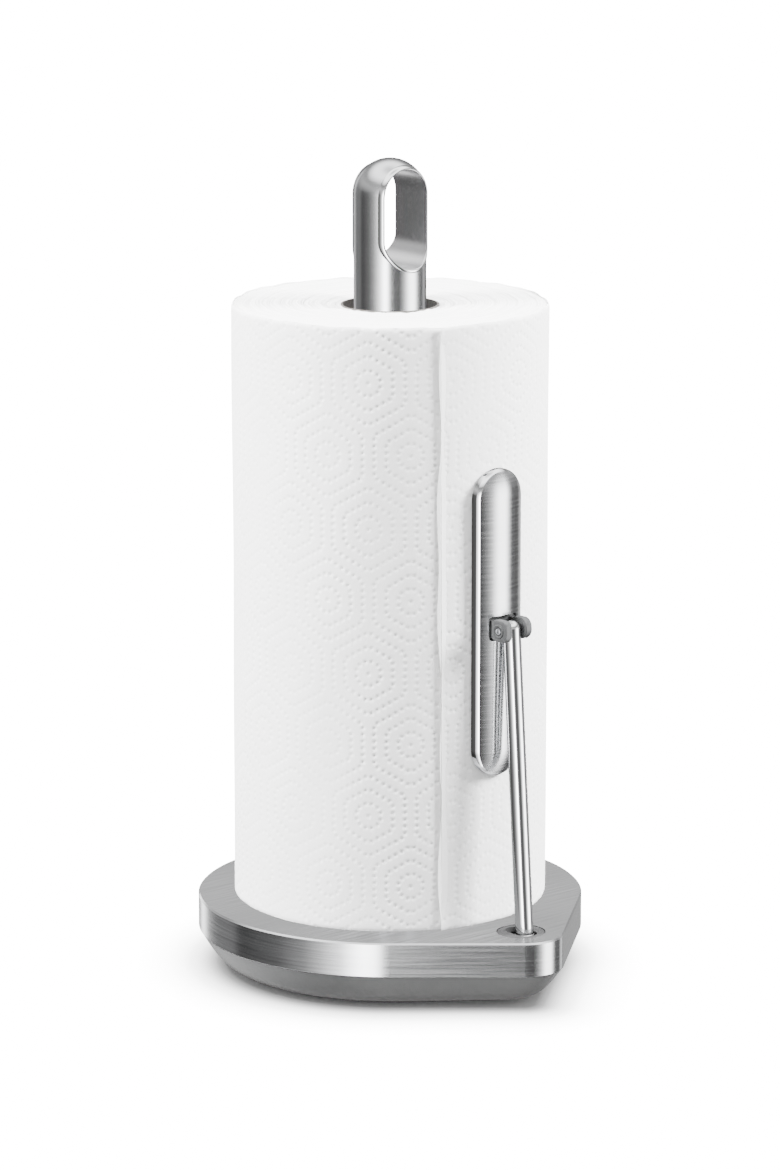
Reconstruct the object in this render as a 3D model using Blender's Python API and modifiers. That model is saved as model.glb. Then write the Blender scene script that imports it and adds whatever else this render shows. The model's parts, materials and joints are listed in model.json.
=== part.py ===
"""Paper towel holder with a weighted teardrop base, a domed post and a sprung arm, holding one roll.

Units are metres and +Z is up. The origin is on the post's axis at the surface that the holder stands
on. The sprung arm stands on the -Y side, in the plane X = 0, about which the holder is symmetric.
"""
import math

import bmesh
import bpy

# ---------------------------------------------------------------- driving dimensions
GAP = 0.0003                   # clearance left between neighbouring pieces
THROUGH = 0.0800               # length of a cutter that passes right through a piece

BASE_HEIGHT = 0.0340           # standing surface to the top of the cover
BASE_RADIUS = 0.0900           # round part of the teardrop plan, centred on the post
NOSE_RADIUS = 0.0185           # small round end of the teardrop, under the arm
NOSE_REACH = 0.0938            # post axis to the centre of the small round end
NOSE_TAPER = 0.45              # share of a bowl section's inset that the nose radius loses
NOSE_DRAW = 0.93               # share of a bowl section's inset that the nose centre moves in
ROUND_STEPS = 46               # segments round the large arc of a plan outline
NOSE_STEPS = 10                # segments round the nose
SKIRT_HEIGHT = 0.0160          # steel band round the cover's edge
SHEET = 0.0008                 # thickness of the pressed steel pieces
COVER_CHAMFER = 0.0007

PAN_WALL = 0.0022
PAN_UNDERSIDE = 0.0018         # height of the pan's flat underside
PAN_RIM_TOP = 0.0245           # the rim stands inside the cover's skirt
PAN_RIM = 0.0020
PAN_SLOPE_LIFT = 0.3           # share of the wall by which the bowl's inside stands higher on its slope
PAN_SECTIONS = [               # (inset from the cover's plan, height) down the bowl's outside
    (0.0004, 0.0177), (0.0027, 0.0140), (0.0053, 0.0100),
    (0.0090, 0.0060), (0.0120, 0.0038), (0.0150, 0.0025),
]
PAN_FLAT_INSET = 0.0185
FOOT_INSET = 0.0205
FOOT_THICKNESS = 0.0015

BALLAST_INSET = 0.0060
BALLAST_THICKNESS = 0.0055
BALLAST_FRONT = 0.0780         # the plate stops here, clear of the arm's pivot

SCREW_PLACES = [(0.0440, 0.0440), (-0.0440, 0.0440), (0.0500, -0.0380), (-0.0500, -0.0380)]
BOSS_RADIUS = 0.0052
SCREW_RADIUS = 0.00175
SCREW_HEAD_RADIUS = 0.0036
SCREW_HEAD_BOTTOM = 0.0036
SCREW_HEAD_TOP = 0.0058
SCREW_HEAD_DOME = 0.0006       # height and width of the rounding on a pan head's edge
SCREW_HEAD_ROUND = 0.0008
SCREW_SHORT = 0.0010           # screw tips stop this far below the ballast's top

POST_RADIUS = 0.01665
POST_TOP = 0.3795
POST_WALL = 0.0012
POST_STEPS = 48
DOME_STEPS = 7
PLUG_HEIGHT = 0.0157
BOLT_RADIUS = 0.0040
BOLT_HEAD_RADIUS = 0.0075
BOLT_HEAD_HEIGHT = 0.0053
BOLT_SHORT = 0.0030            # the bolt stops this far below the plug's top
WASHER_RADIUS = 0.0120
WASHER_THICKNESS = 0.0016

SLOT_HALF_WIDTH = 0.0126       # finger slot through the post, inside its liner
SLOT_HALF_HEIGHT = 0.0225
SLOT_CENTRE = 0.3527
LINER_WALL = 0.0009
LINER_PROUD = 0.0004           # how far the liner's lip stands out of the post

ROLL_RADIUS = 0.0732
ROLL_LENGTH = 0.2794
CORE_BORE = 0.02174
CORE_WALL = 0.00085
ROLL_LIFT = 0.0004             # the roll's end above the cover
ROLL_EDGE = 0.0008             # softness of the roll's rims
ROLL_STEPS = 96

PIVOT_REACH = 0.0955           # post axis to the arm's axle
PIVOT_HEIGHT = 0.0220
PIN_REACH = 0.0847             # post axis to the pad's pin
PIN_HEIGHT = 0.1743
ROD_RADIUS = 0.0041
ROD_BOTTOM = 0.0040            # along the rod, from the axle
HUB_RADIUS = 0.0060
HUB_HALF_WIDTH = 0.0045
SOCKET_RADIUS = 0.0055
SOCKET_TOP = 0.0080
ROD_FIT = 0.00025              # radial clearance round the rod
COLLAR_RADIUS = 0.0047
COLLAR_TOP = 0.0120
AXLE_RADIUS = 0.0020
AXLE_HALF_LENGTH = 0.0129
AXLE_CHAMFER = 0.0003
CHEEK_INSIDE = 0.0090
CHEEK_THICKNESS = 0.0016
CHEEK_LUG_RADIUS = 0.0055
CHEEK_SHOULDER = 0.0040        # height of a cheek's rear edge under the flange
BRACKET_BACK = 0.0600          # post axis to the bracket's rear edge
FLANGE_FRONT = 0.0760
BRACKET_SCREW_X = 0.0055
BRACKET_SCREW_REACH = 0.0680
BRACKET_SCREW_HEAD = 0.0027
BRACKET_SCREW_HEAD_HEIGHT = 0.0020
CLIP_RING_RADIUS = 0.0036
CLIP_RING_THICKNESS = 0.0008

SPRING_WIRE = 0.00055          # wire radius
SPRING_RADIUS = 0.0036         # mean coil radius
SPRING_PITCH = 0.0012
SPRING_TURNS = 2.25
SPRING_TURN_STEPS = 12
SPRING_HOOK_RISE = 0.0062      # the hook crosses the socket this far above the axle
SPRING_HOOK_FRONT = 0.0065     # and this far in front of it
SPRING_HOOK_END = 0.0010
SPRING_LEG_LAP = 0.0020        # length of the leg's end under the bracket's flange

BEZEL_REACH = 0.0922           # post axis to the centre of the arm's slot
BEZEL_RADIUS = 0.0109
BEZEL_FLANGE_RADIUS = 0.0123
BEZEL_FLANGE = 0.0014          # thickness of the flange under the cover
BEZEL_EDGE = 0.0004
BEZEL_SUNK = 0.0001            # the bezel's top below the cover's top
BEZEL_SLOT_HALF_WIDTH = 0.0050
BEZEL_SLOT_HALF_LENGTH = 0.0085

PAD_HALF_WIDTH = 0.01345
PAD_HALF_HEIGHT = 0.07115
PAD_RISE = 0.0013              # pad centre above the pin
PAD_EDGE = 0.0763              # post axis to the edge between side wall and crowned face
PAD_FACE = 0.0800              # post axis to the crest of the crowned face
PAD_CLEARANCE = 0.0005         # between the pad's hollow back and the roll
PAD_CROWN_STEPS = [0.0, 0.0012, 0.0032, 0.0060, 0.0095, 0.0129]
BACKING_FRONT = 0.0758
BACKING_RECESS = 0.0002
PAD_BLANK = 0.0692             # post axis to the back of the pad's pieces before they are hollowed
CLIP_BASE_FRONT = 0.0775
CLIP_BASE_HALF_WIDTH = 0.0082
CLIP_BASE_HALF_HEIGHT = 0.0092
EAR_INSIDE = 0.0044
EAR_OUTSIDE = 0.0079
EAR_RADIUS = 0.0052
EAR_ROOT = 0.0006              # depth by which the ears start inside the clip's base
PIN_RADIUS = 0.0015
PIN_HALF_LENGTH = 0.0084
PIN_CHAMFER = 0.0004
CLIP_SCREW_RISE = 0.0072
CLIP_SCREW_RADIUS = 0.0010
CLIP_SCREW_HEAD = 0.0020
CLIP_SCREW_LAND = 0.0006       # backing left in front of a screw head
CLIP_SCREW_SUNK = 0.0002       # both ends of a clip screw stand back this far

MERGE = 0.00001

# ---------------------------------------------------------------- derived places
CEILING = BASE_HEIGHT - SHEET
BALLAST_TOP = CEILING - GAP
BALLAST_BOTTOM = BALLAST_TOP - BALLAST_THICKNESS
BRACKET_TOP = BALLAST_BOTTOM - GAP
BRACKET_UNDER = BRACKET_TOP - CHEEK_THICKNESS
SCREW_TIP = BALLAST_TOP - SCREW_SHORT
POST_BOTTOM = BASE_HEIGHT + GAP
POST_BORE = POST_RADIUS - POST_WALL
DOME_CENTRE = POST_TOP - POST_RADIUS
ROLL_BOTTOM = BASE_HEIGHT + ROLL_LIFT
ROLL_TOP = ROLL_BOTTOM + ROLL_LENGTH
ARM_LEAN = math.atan2(PIVOT_REACH - PIN_REACH, PIN_HEIGHT - PIVOT_HEIGHT)
ARM_LENGTH = math.hypot(PIVOT_REACH - PIN_REACH, PIN_HEIGHT - PIVOT_HEIGHT)
CROWN_HEIGHT = PAD_FACE - PAD_EDGE
CROWN_RADIUS = (PAD_HALF_WIDTH ** 2 + CROWN_HEIGHT ** 2) / (2 * CROWN_HEIGHT)

FINISHES = {                   # colour, metallic, roughness
    "brushed_steel": ((0.62, 0.62, 0.63), 1.0, 0.32),
    "satin_steel": ((0.66, 0.66, 0.67), 1.0, 0.25),
    "polished_steel": ((0.78, 0.78, 0.79), 1.0, 0.08),
    "zinc_steel": ((0.55, 0.56, 0.58), 1.0, 0.40),
    "spring_steel": ((0.30, 0.30, 0.31), 1.0, 0.35),
    "cast_iron": ((0.09, 0.09, 0.10), 0.6, 0.65),
    "grey_plastic": ((0.20, 0.20, 0.21), 0.0, 0.45),
    "clip_plastic": ((0.23, 0.23, 0.24), 0.0, 0.40),
    "black_rubber": ((0.03, 0.03, 0.03), 0.0, 0.80),
    "white_paper": ((0.87, 0.87, 0.87), 0.0, 0.95),
    "card": ((0.42, 0.32, 0.22), 0.0, 0.90),
}


# ---------------------------------------------------------------- scene helpers
def clear_scene():
    for obj in list(bpy.data.objects):
        bpy.data.objects.remove(obj, do_unlink=True)


def new_collection(name):
    collection = bpy.data.collections.new(name)
    bpy.context.scene.collection.children.link(collection)
    return collection


def move_to(obj, collection):
    for owner in list(obj.users_collection):
        owner.objects.unlink(obj)
    collection.objects.link(obj)


def frame(name, location, tilt=0.0, parent=None):
    """An empty on a joint's axis, leaning about X."""
    empty = bpy.data.objects.new(name, None)
    empty.empty_display_size = 0.01
    empty.location = location
    empty.rotation_euler = (tilt, 0.0, 0.0)
    empty.parent = parent
    PARTS.objects.link(empty)
    return empty


def finish_part(obj, finish, parent=None):
    """Give a finished object its own material, its parent and smooth shading."""
    colour, metallic, roughness = FINISHES[finish]
    material = bpy.data.materials.new(obj.name + "_" + finish)
    material.use_nodes = True
    shader = material.node_tree.nodes["Principled BSDF"]
    shader.inputs["Base Color"].default_value = (*colour, 1.0)
    shader.inputs["Metallic"].default_value = metallic
    shader.inputs["Roughness"].default_value = roughness
    obj.data.materials.clear()
    obj.data.materials.append(material)
    if obj.data.polygons:
        obj.data.shade_smooth()
        obj.data.set_sharp_from_angle(angle=math.radians(35))
    if parent is not None:
        obj.parent = parent
    return obj


def as_cutter(obj, parent=None):
    move_to(obj, CUTTERS)
    obj.hide_render = True
    obj.display_type = "WIRE"
    if parent is not None:
        obj.parent = parent
    return obj


def combine(obj, tool, operation):
    modifier = obj.modifiers.new(operation.lower(), "BOOLEAN")
    modifier.operation = operation
    modifier.solver = "EXACT"
    modifier.object = tool


def cut(obj, tool, parent=None):
    combine(obj, as_cutter(tool, parent), "DIFFERENCE")


def join(obj, tool, parent=None):
    combine(obj, as_cutter(tool, parent), "UNION")


def curve_to_mesh(obj):
    """Replace a curve object by a closed mesh object of the same name."""
    name = obj.name
    bpy.context.view_layer.update()
    evaluated = obj.evaluated_get(bpy.context.evaluated_depsgraph_get())
    mesh = bpy.data.meshes.new_from_object(evaluated)
    weld = bmesh.new()
    weld.from_mesh(mesh)
    bmesh.ops.remove_doubles(weld, verts=weld.verts, dist=MERGE)
    bmesh.ops.recalc_face_normals(weld, faces=weld.faces)
    weld.to_mesh(mesh)
    weld.free()
    matrix = obj.matrix_world.copy()
    bpy.data.objects.remove(obj, do_unlink=True)
    solid = bpy.data.objects.new(name, mesh)
    solid.name = name
    solid.matrix_world = matrix
    PARTS.objects.link(solid)
    return solid


# ---------------------------------------------------------------- shape helpers
def arc(radius, start, end, steps, centre=(0.0, 0.0)):
    points = []
    for i in range(steps + 1):
        angle = start + (end - start) * i / steps
        points.append((centre[0] + radius * math.cos(angle), centre[1] + radius * math.sin(angle)))
    return points


def teardrop(round_radius, nose_radius, reach):
    """Plan outline: a large arc about the post and a small one at -Y, joined by their tangents."""
    half = math.acos((round_radius - nose_radius) / reach)
    nose = -math.pi / 2
    large = arc(round_radius, nose + half, nose + 2 * math.pi - half, ROUND_STEPS)
    small = arc(nose_radius, nose - half, nose + half, NOSE_STEPS, (0.0, -reach))
    return large + small


def cover_plan(inset):
    return teardrop(BASE_RADIUS - inset, NOSE_RADIUS - inset, NOSE_REACH)


def bowl_plan(inset):
    reach = NOSE_REACH - NOSE_DRAW * inset
    return teardrop(BASE_RADIUS - inset, NOSE_RADIUS - NOSE_TAPER * inset, reach)


def stadium(half_width, half_length, steps=12):
    """Outline with two straight sides along its second axis and round ends."""
    middle = half_length - half_width
    upper = arc(half_width, 0.0, math.pi, steps, (0.0, middle))
    lower = arc(half_width, math.pi, 2 * math.pi, steps, (0.0, -middle))
    return upper + lower


def loft(name, rings):
    """Closed solid through rings of equal point count, capped at both ends."""
    mesh = bpy.data.meshes.new(name)
    shell = bmesh.new()
    rows = [[shell.verts.new(point) for point in ring] for ring in rings]
    count = len(rows[0])
    for lower, upper in zip(rows, rows[1:]):
        for i in range(count):
            j = (i + 1) % count
            shell.faces.new((lower[i], lower[j], upper[j], upper[i]))
    shell.faces.new(rows[0])
    shell.faces.new(rows[-1])
    bmesh.ops.recalc_face_normals(shell, faces=shell.faces)
    shell.to_mesh(mesh)
    shell.free()
    obj = bpy.data.objects.new(name, mesh)
    PARTS.objects.link(obj)
    return obj


def plate(name, outline, thickness, location=(0.0, 0.0, 0.0), facing="Z"):
    """Flat piece from a closed outline; facing names the axis along its thickness."""
    turns = {"Z": (0.0, 0.0, 0.0), "Y": (math.pi / 2, 0.0, 0.0), "X": (math.pi / 2, 0.0, math.pi / 2)}
    curve = bpy.data.curves.new(name, "CURVE")
    curve.dimensions = "2D"
    curve.fill_mode = "BOTH"
    curve.extrude = thickness / 2
    spline = curve.splines.new("POLY")
    spline.points.add(len(outline) - 1)
    for point, (u, v) in zip(spline.points, outline):
        point.co = (u, v, 0.0, 1.0)
    spline.use_cyclic_u = True
    obj = bpy.data.objects.new(name, curve)
    obj.location = location
    obj.rotation_euler = turns[facing]
    PARTS.objects.link(obj)
    return curve_to_mesh(obj)


def wire(name, points, radius):
    curve = bpy.data.curves.new(name, "CURVE")
    curve.dimensions = "3D"
    curve.bevel_depth = radius
    curve.bevel_resolution = 2
    curve.use_fill_caps = True
    spline = curve.splines.new("POLY")
    spline.points.add(len(points) - 1)
    for point, place in zip(spline.points, points):
        point.co = (*place, 1.0)
    obj = bpy.data.objects.new(name, curve)
    PARTS.objects.link(obj)
    return curve_to_mesh(obj)


def turned(name, profile, steps, closed=False, turn=(0.0, 0.0, 0.0), location=(0.0, 0.0, 0.0)):
    """Solid of revolution about its own Z; the profile starts at the top of its outer side."""
    points = [(radius, 0.0, height) for radius, height in profile]
    edges = [(i, i + 1) for i in range(len(points) - 1)]
    if closed:
        edges.append((len(points) - 1, 0))
    mesh = bpy.data.meshes.new(name)
    mesh.from_pydata(points, edges, [])
    obj = bpy.data.objects.new(name, mesh)
    obj.location = location
    obj.rotation_euler = turn
    PARTS.objects.link(obj)
    screw = obj.modifiers.new("turn", "SCREW")
    screw.angle = 2 * math.pi
    screw.steps = steps
    screw.render_steps = steps
    screw.use_merge_vertices = True
    screw.merge_threshold = MERGE
    screw.use_smooth_shade = True
    return obj


def cylinder(name, radius, depth, location, axis="Z", vertices=32):
    turns = {"X": (0.0, math.pi / 2, 0.0), "Y": (math.pi / 2, 0.0, 0.0), "Z": (0.0, 0.0, 0.0)}
    bpy.ops.mesh.primitive_cylinder_add(
        vertices=vertices, radius=radius, depth=depth, location=location, rotation=turns[axis])
    obj = bpy.context.object
    obj.name = name
    move_to(obj, PARTS)
    return obj


def box(name, low, high):
    centre = [(a + b) / 2 for a, b in zip(low, high)]
    bpy.ops.mesh.primitive_cube_add(size=1.0, location=centre)
    obj = bpy.context.object
    obj.name = name
    obj.scale = [b - a for a, b in zip(low, high)]
    bpy.ops.object.transform_apply(location=False, rotation=False, scale=True)
    move_to(obj, PARTS)
    return obj


def tube_profile(outer, inner, bottom, top):
    return [(outer, top), (outer, bottom), (inner, bottom), (inner, top)]


def rod_profile(radius, half_length, chamfer):
    return [
        (0.0, half_length), (radius - chamfer, half_length),
        (radius, half_length - chamfer), (radius, -half_length + chamfer),
        (radius - chamfer, -half_length), (0.0, -half_length),
    ]


def dome_profile(radius, centre, bottom, steps):
    """Half section of a round bar with a domed top, from the crest down to the bottom edge."""
    dome = arc(radius, math.pi / 2, 0.0, steps, (0.0, centre))
    dome[0] = (0.0, centre + radius)
    return dome + [(radius, bottom)]


# ---------------------------------------------------------------- base
def at_height(outline, height):
    return [(x, y, height) for x, y in outline]


def make_cover():
    skirt_bottom = BASE_HEIGHT - SKIRT_HEIGHT
    rings = [
        at_height(cover_plan(SHEET), CEILING),
        at_height(cover_plan(SHEET), skirt_bottom),
        at_height(cover_plan(0.0), skirt_bottom),
        at_height(cover_plan(0.0), BASE_HEIGHT - COVER_CHAMFER),
        at_height(cover_plan(COVER_CHAMFER), BASE_HEIGHT),
    ]
    cover = loft("base_cover", rings)
    cut(cover, cylinder("cut_cover_bolt", BOLT_RADIUS + GAP, THROUGH, (0, 0, BASE_HEIGHT)))
    bezel_place = (0, -BEZEL_REACH, BASE_HEIGHT)
    cut(cover, cylinder("cut_cover_bezel", BEZEL_RADIUS + GAP, THROUGH, bezel_place, vertices=48))
    finish_part(cover, "brushed_steel")


def make_pan():
    rim_inset = SHEET + GAP
    rings = [at_height(bowl_plan(PAN_FLAT_INSET), PAN_UNDERSIDE)]
    rings += [at_height(bowl_plan(inset), height) for inset, height in reversed(PAN_SECTIONS)]
    ledge = PAN_SECTIONS[0][1]
    rings.append(at_height(cover_plan(rim_inset), ledge))
    rings.append(at_height(cover_plan(rim_inset), PAN_RIM_TOP))
    rings.append(at_height(cover_plan(rim_inset + PAN_RIM), PAN_RIM_TOP))
    rings.append(at_height(bowl_plan(rim_inset + PAN_RIM), ledge))
    for inset, height in PAN_SECTIONS[1:4]:
        rings.append(at_height(bowl_plan(inset + PAN_WALL), height + PAN_SLOPE_LIFT * PAN_WALL))
    rings.append(at_height(bowl_plan(PAN_FLAT_INSET), PAN_UNDERSIDE + PAN_WALL))
    pan = loft("base_pan", rings)
    boss_bottom = PAN_UNDERSIDE + PAN_WALL / 2
    boss_top = BALLAST_BOTTOM - GAP
    middle = (boss_bottom + boss_top) / 2
    height = boss_top - boss_bottom
    for i, (x, y) in enumerate(SCREW_PLACES):
        join(pan, cylinder(f"pan_boss_{i}", BOSS_RADIUS, height, (x, y, middle), vertices=20))
    pocket = 2 * (SCREW_HEAD_TOP + GAP)
    for i, (x, y) in enumerate(SCREW_PLACES):
        cut(pan, cylinder(f"cut_pan_bore_{i}", SCREW_RADIUS + GAP, THROUGH, (x, y, middle), vertices=12))
        cut(pan, cylinder(f"cut_pan_pocket_{i}", SCREW_HEAD_RADIUS + GAP, pocket, (x, y, 0.0), vertices=16))
    finish_part(pan, "grey_plastic")


def make_foot():
    foot = plate("foot_pad", bowl_plan(FOOT_INSET), FOOT_THICKNESS, (0, 0, FOOT_THICKNESS / 2))
    for i, (x, y) in enumerate(SCREW_PLACES):
        cut(foot, cylinder(f"cut_foot_{i}", SCREW_HEAD_RADIUS + GAP, THROUGH, (x, y, 0.0), vertices=16))
    finish_part(foot, "black_rubber")


def make_ballast():
    middle = (BALLAST_TOP + BALLAST_BOTTOM) / 2
    ballast = plate("ballast_plate", cover_plan(BALLAST_INSET), BALLAST_THICKNESS, (0, 0, middle))
    reach = BASE_RADIUS + NOSE_REACH
    cut(ballast, box("cut_ballast_nose", (-reach, -reach, 0.0), (reach, -BALLAST_FRONT, 2 * BASE_HEIGHT)))
    cut(ballast, cylinder("cut_ballast_bolt", BOLT_RADIUS + GAP, THROUGH, (0, 0, middle)))
    for i, (x, y) in enumerate(SCREW_PLACES):
        cut(ballast, cylinder(f"cut_ballast_{i}", SCREW_RADIUS + GAP, THROUGH, (x, y, middle), vertices=12))
    for i, side in enumerate((-1, 1)):
        place = (side * BRACKET_SCREW_X, -BRACKET_SCREW_REACH, middle)
        cut(ballast, cylinder(f"cut_ballast_bracket_{i}", SCREW_RADIUS, THROUGH, place, vertices=12))
    finish_part(ballast, "cast_iron")


def pan_head_profile(shank, head, head_bottom, head_top, tip):
    """Screw standing head down: shank tip at the top, head at the bottom."""
    return [
        (0.0, tip), (shank, tip - shank / 2), (shank, head_top),
        (head, head_top), (head, head_bottom + SCREW_HEAD_DOME),
        (head - SCREW_HEAD_ROUND, head_bottom), (0.0, head_bottom),
    ]


def make_pan_screws():
    head = SCREW_HEAD_RADIUS
    profile = pan_head_profile(SCREW_RADIUS, head, SCREW_HEAD_BOTTOM, SCREW_HEAD_TOP, SCREW_TIP)
    for i, (x, y) in enumerate(SCREW_PLACES):
        screw = turned(f"pan_screw_{i + 1}", profile, 12, location=(x, y, 0.0))
        finish_part(screw, "zinc_steel")


# ---------------------------------------------------------------- post
def make_post():
    outside = dome_profile(POST_RADIUS, DOME_CENTRE, POST_BOTTOM, DOME_STEPS)
    inside = dome_profile(POST_BORE, DOME_CENTRE, POST_BOTTOM, DOME_STEPS)
    post = turned("post_tube", outside + inside[::-1], POST_STEPS)
    opening = SLOT_HALF_WIDTH + LINER_WALL + GAP
    reach = SLOT_HALF_HEIGHT + LINER_WALL + GAP
    cut(post, plate("cut_post_slot", stadium(opening, reach, 20), THROUGH, (0, 0, SLOT_CENTRE), "Y"))
    finish_part(post, "satin_steel")


def make_slot_liner():
    bottom = SLOT_CENTRE - 2 * SLOT_HALF_HEIGHT
    profile = dome_profile(POST_RADIUS + LINER_PROUD, DOME_CENTRE, bottom, DOME_STEPS)
    liner = turned("slot_liner", profile + [(0.0, bottom)], POST_STEPS)
    outer = stadium(SLOT_HALF_WIDTH + LINER_WALL, SLOT_HALF_HEIGHT + LINER_WALL, 20)
    inner = stadium(SLOT_HALF_WIDTH, SLOT_HALF_HEIGHT, 20)
    tool = as_cutter(plate("keep_liner", outer, THROUGH, (0, 0, SLOT_CENTRE), "Y"))
    combine(liner, tool, "INTERSECT")
    cut(liner, plate("cut_liner", inner, THROUGH, (0, 0, SLOT_CENTRE), "Y"))
    finish_part(liner, "polished_steel")


def make_post_fixing():
    plug_top = POST_BOTTOM + PLUG_HEIGHT
    plug_profile = tube_profile(POST_BORE - GAP, BOLT_RADIUS + GAP, POST_BOTTOM, plug_top)
    finish_part(turned("post_plug", plug_profile, 32, closed=True), "zinc_steel")
    washer_top = BALLAST_BOTTOM - GAP
    washer_bottom = washer_top - WASHER_THICKNESS
    washer_profile = tube_profile(WASHER_RADIUS, BOLT_RADIUS + GAP, washer_bottom, washer_top)
    finish_part(turned("post_washer", washer_profile, 24, closed=True), "zinc_steel")
    head_top = washer_bottom - GAP
    head_middle = head_top - BOLT_HEAD_HEIGHT / 2
    bolt = cylinder("post_bolt", BOLT_HEAD_RADIUS, BOLT_HEAD_HEIGHT, (0, 0, head_middle), vertices=6)
    tip = plug_top - BOLT_SHORT
    shank_middle = (head_middle + tip) / 2
    shank = cylinder("bolt_shank", BOLT_RADIUS, tip - head_middle, (0, 0, shank_middle), vertices=24)
    join(bolt, shank)
    finish_part(bolt, "zinc_steel")


# ---------------------------------------------------------------- roll
def make_roll(axis):
    core_profile = tube_profile(CORE_BORE + CORE_WALL, CORE_BORE, ROLL_BOTTOM, ROLL_TOP - GAP)
    finish_part(turned("roll_core", core_profile, 40, closed=True), "card", axis)
    inner = CORE_BORE + CORE_WALL + GAP
    profile = [
        (ROLL_RADIUS - ROLL_EDGE, ROLL_TOP), (ROLL_RADIUS, ROLL_TOP - ROLL_EDGE),
        (ROLL_RADIUS, ROLL_BOTTOM + ROLL_EDGE), (ROLL_RADIUS - ROLL_EDGE, ROLL_BOTTOM),
        (inner, ROLL_BOTTOM), (inner, ROLL_TOP),
    ]
    finish_part(turned("paper_roll", profile, ROLL_STEPS, closed=True), "white_paper", axis)


# ---------------------------------------------------------------- arm pivot, fixed to the base
def make_bracket():
    lug = arc(CHEEK_LUG_RADIUS, -math.pi / 2, -3 * math.pi / 2, 12, (-PIVOT_REACH, PIVOT_HEIGHT))
    cheek = [(-BRACKET_BACK, BRACKET_TOP), (-BRACKET_BACK, BRACKET_UNDER - CHEEK_SHOULDER)] + lug
    spread = 2 * (CHEEK_INSIDE + CHEEK_THICKNESS)
    bracket = plate("arm_bracket", cheek, spread, facing="X")
    far = 2 * PIVOT_REACH
    low = (-CHEEK_INSIDE, -far, 0.0)
    cut(bracket, box("cut_bracket_between", low, (CHEEK_INSIDE, 0.0, BRACKET_UNDER)))
    cut(bracket, box("cut_bracket_mouth", low, (CHEEK_INSIDE, -FLANGE_FRONT, BASE_HEIGHT)))
    pivot = (0, -PIVOT_REACH, PIVOT_HEIGHT)
    cut(bracket, cylinder("cut_bracket_axle", AXLE_RADIUS + GAP, THROUGH, pivot, "X", 24))
    for i, side in enumerate((-1, 1)):
        place = (side * BRACKET_SCREW_X, -BRACKET_SCREW_REACH, BRACKET_TOP)
        cut(bracket, cylinder(f"cut_bracket_screw_{i}", SCREW_RADIUS, THROUGH, place, vertices=12))
    finish_part(bracket, "zinc_steel")


def make_bracket_screws():
    shank = SCREW_RADIUS - GAP
    head_top = BRACKET_UNDER - GAP
    head_bottom = head_top - BRACKET_SCREW_HEAD_HEIGHT
    profile = pan_head_profile(shank, BRACKET_SCREW_HEAD, head_bottom, head_top, SCREW_TIP)
    for i, side in enumerate((-1, 1)):
        place = (side * BRACKET_SCREW_X, -BRACKET_SCREW_REACH, 0.0)
        finish_part(turned(f"bracket_screw_{i + 1}", profile, 12, location=place), "zinc_steel")


def make_axle():
    place = (0.0, -PIVOT_REACH, PIVOT_HEIGHT)
    profile = rod_profile(AXLE_RADIUS, AXLE_HALF_LENGTH, AXLE_CHAMFER)
    axle = turned("arm_axle", profile, 24, turn=(0.0, math.pi / 2, 0.0), location=place)
    finish_part(axle, "zinc_steel")
    inside = CHEEK_INSIDE + CHEEK_THICKNESS + GAP
    ring = tube_profile(CLIP_RING_RADIUS, AXLE_RADIUS + GAP / 2, 0.0, CLIP_RING_THICKNESS)
    for name, side in (("axle_clip_left", -1), ("axle_clip_right", 1)):
        start = inside if side > 0 else -inside - CLIP_RING_THICKNESS
        clip = turned(name, ring, 20, closed=True, turn=(0.0, math.pi / 2, 0.0),
                      location=(start, -PIVOT_REACH, PIVOT_HEIGHT))
        finish_part(clip, "spring_steel")


def spring_points(side):
    """Torsion spring on the axle: a hook in front of the hub's socket, coils, and a leg under the flange."""
    start = HUB_HALF_WIDTH + GAP + SPRING_WIRE
    steps = int(SPRING_TURNS * SPRING_TURN_STEPS)
    hook_y = -PIVOT_REACH - SPRING_HOOK_FRONT
    hook_z = PIVOT_HEIGHT + SPRING_HOOK_RISE
    points = [(side * SPRING_HOOK_END, hook_y, hook_z), (side * start, hook_y, hook_z)]
    for i in range(steps + 1):
        angle = math.pi + 2 * math.pi * i / SPRING_TURN_STEPS
        x = start + SPRING_PITCH * i / SPRING_TURN_STEPS
        y = -PIVOT_REACH + SPRING_RADIUS * math.cos(angle)
        z = PIVOT_HEIGHT + SPRING_RADIUS * math.sin(angle)
        points.append((side * x, y, z))
    leg_x = points[-1][0]
    leg_z = BRACKET_UNDER - GAP - SPRING_WIRE
    points.append((leg_x, -FLANGE_FRONT + SPRING_LEG_LAP, leg_z))
    return points


def make_springs():
    for name, side in (("arm_spring_left", -1), ("arm_spring_right", 1)):
        finish_part(wire(name, spring_points(side), SPRING_WIRE), "spring_steel")


def make_bezel():
    top = BASE_HEIGHT - BEZEL_SUNK
    flange_top = CEILING - GAP
    flange_bottom = flange_top - BEZEL_FLANGE
    profile = [
        (0.0, top), (BEZEL_RADIUS - BEZEL_EDGE, top), (BEZEL_RADIUS, top - BEZEL_EDGE),
        (BEZEL_RADIUS, flange_top), (BEZEL_FLANGE_RADIUS, flange_top),
        (BEZEL_FLANGE_RADIUS, flange_bottom), (0.0, flange_bottom),
    ]
    bezel = turned("arm_bezel", profile, 36, location=(0.0, -BEZEL_REACH, 0.0))
    slot = stadium(BEZEL_SLOT_HALF_WIDTH, BEZEL_SLOT_HALF_LENGTH, 14)
    cut(bezel, plate("cut_bezel_slot", slot, THROUGH, (0.0, -BEZEL_REACH, BASE_HEIGHT)))
    finish_part(bezel, "clip_plastic")


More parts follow.
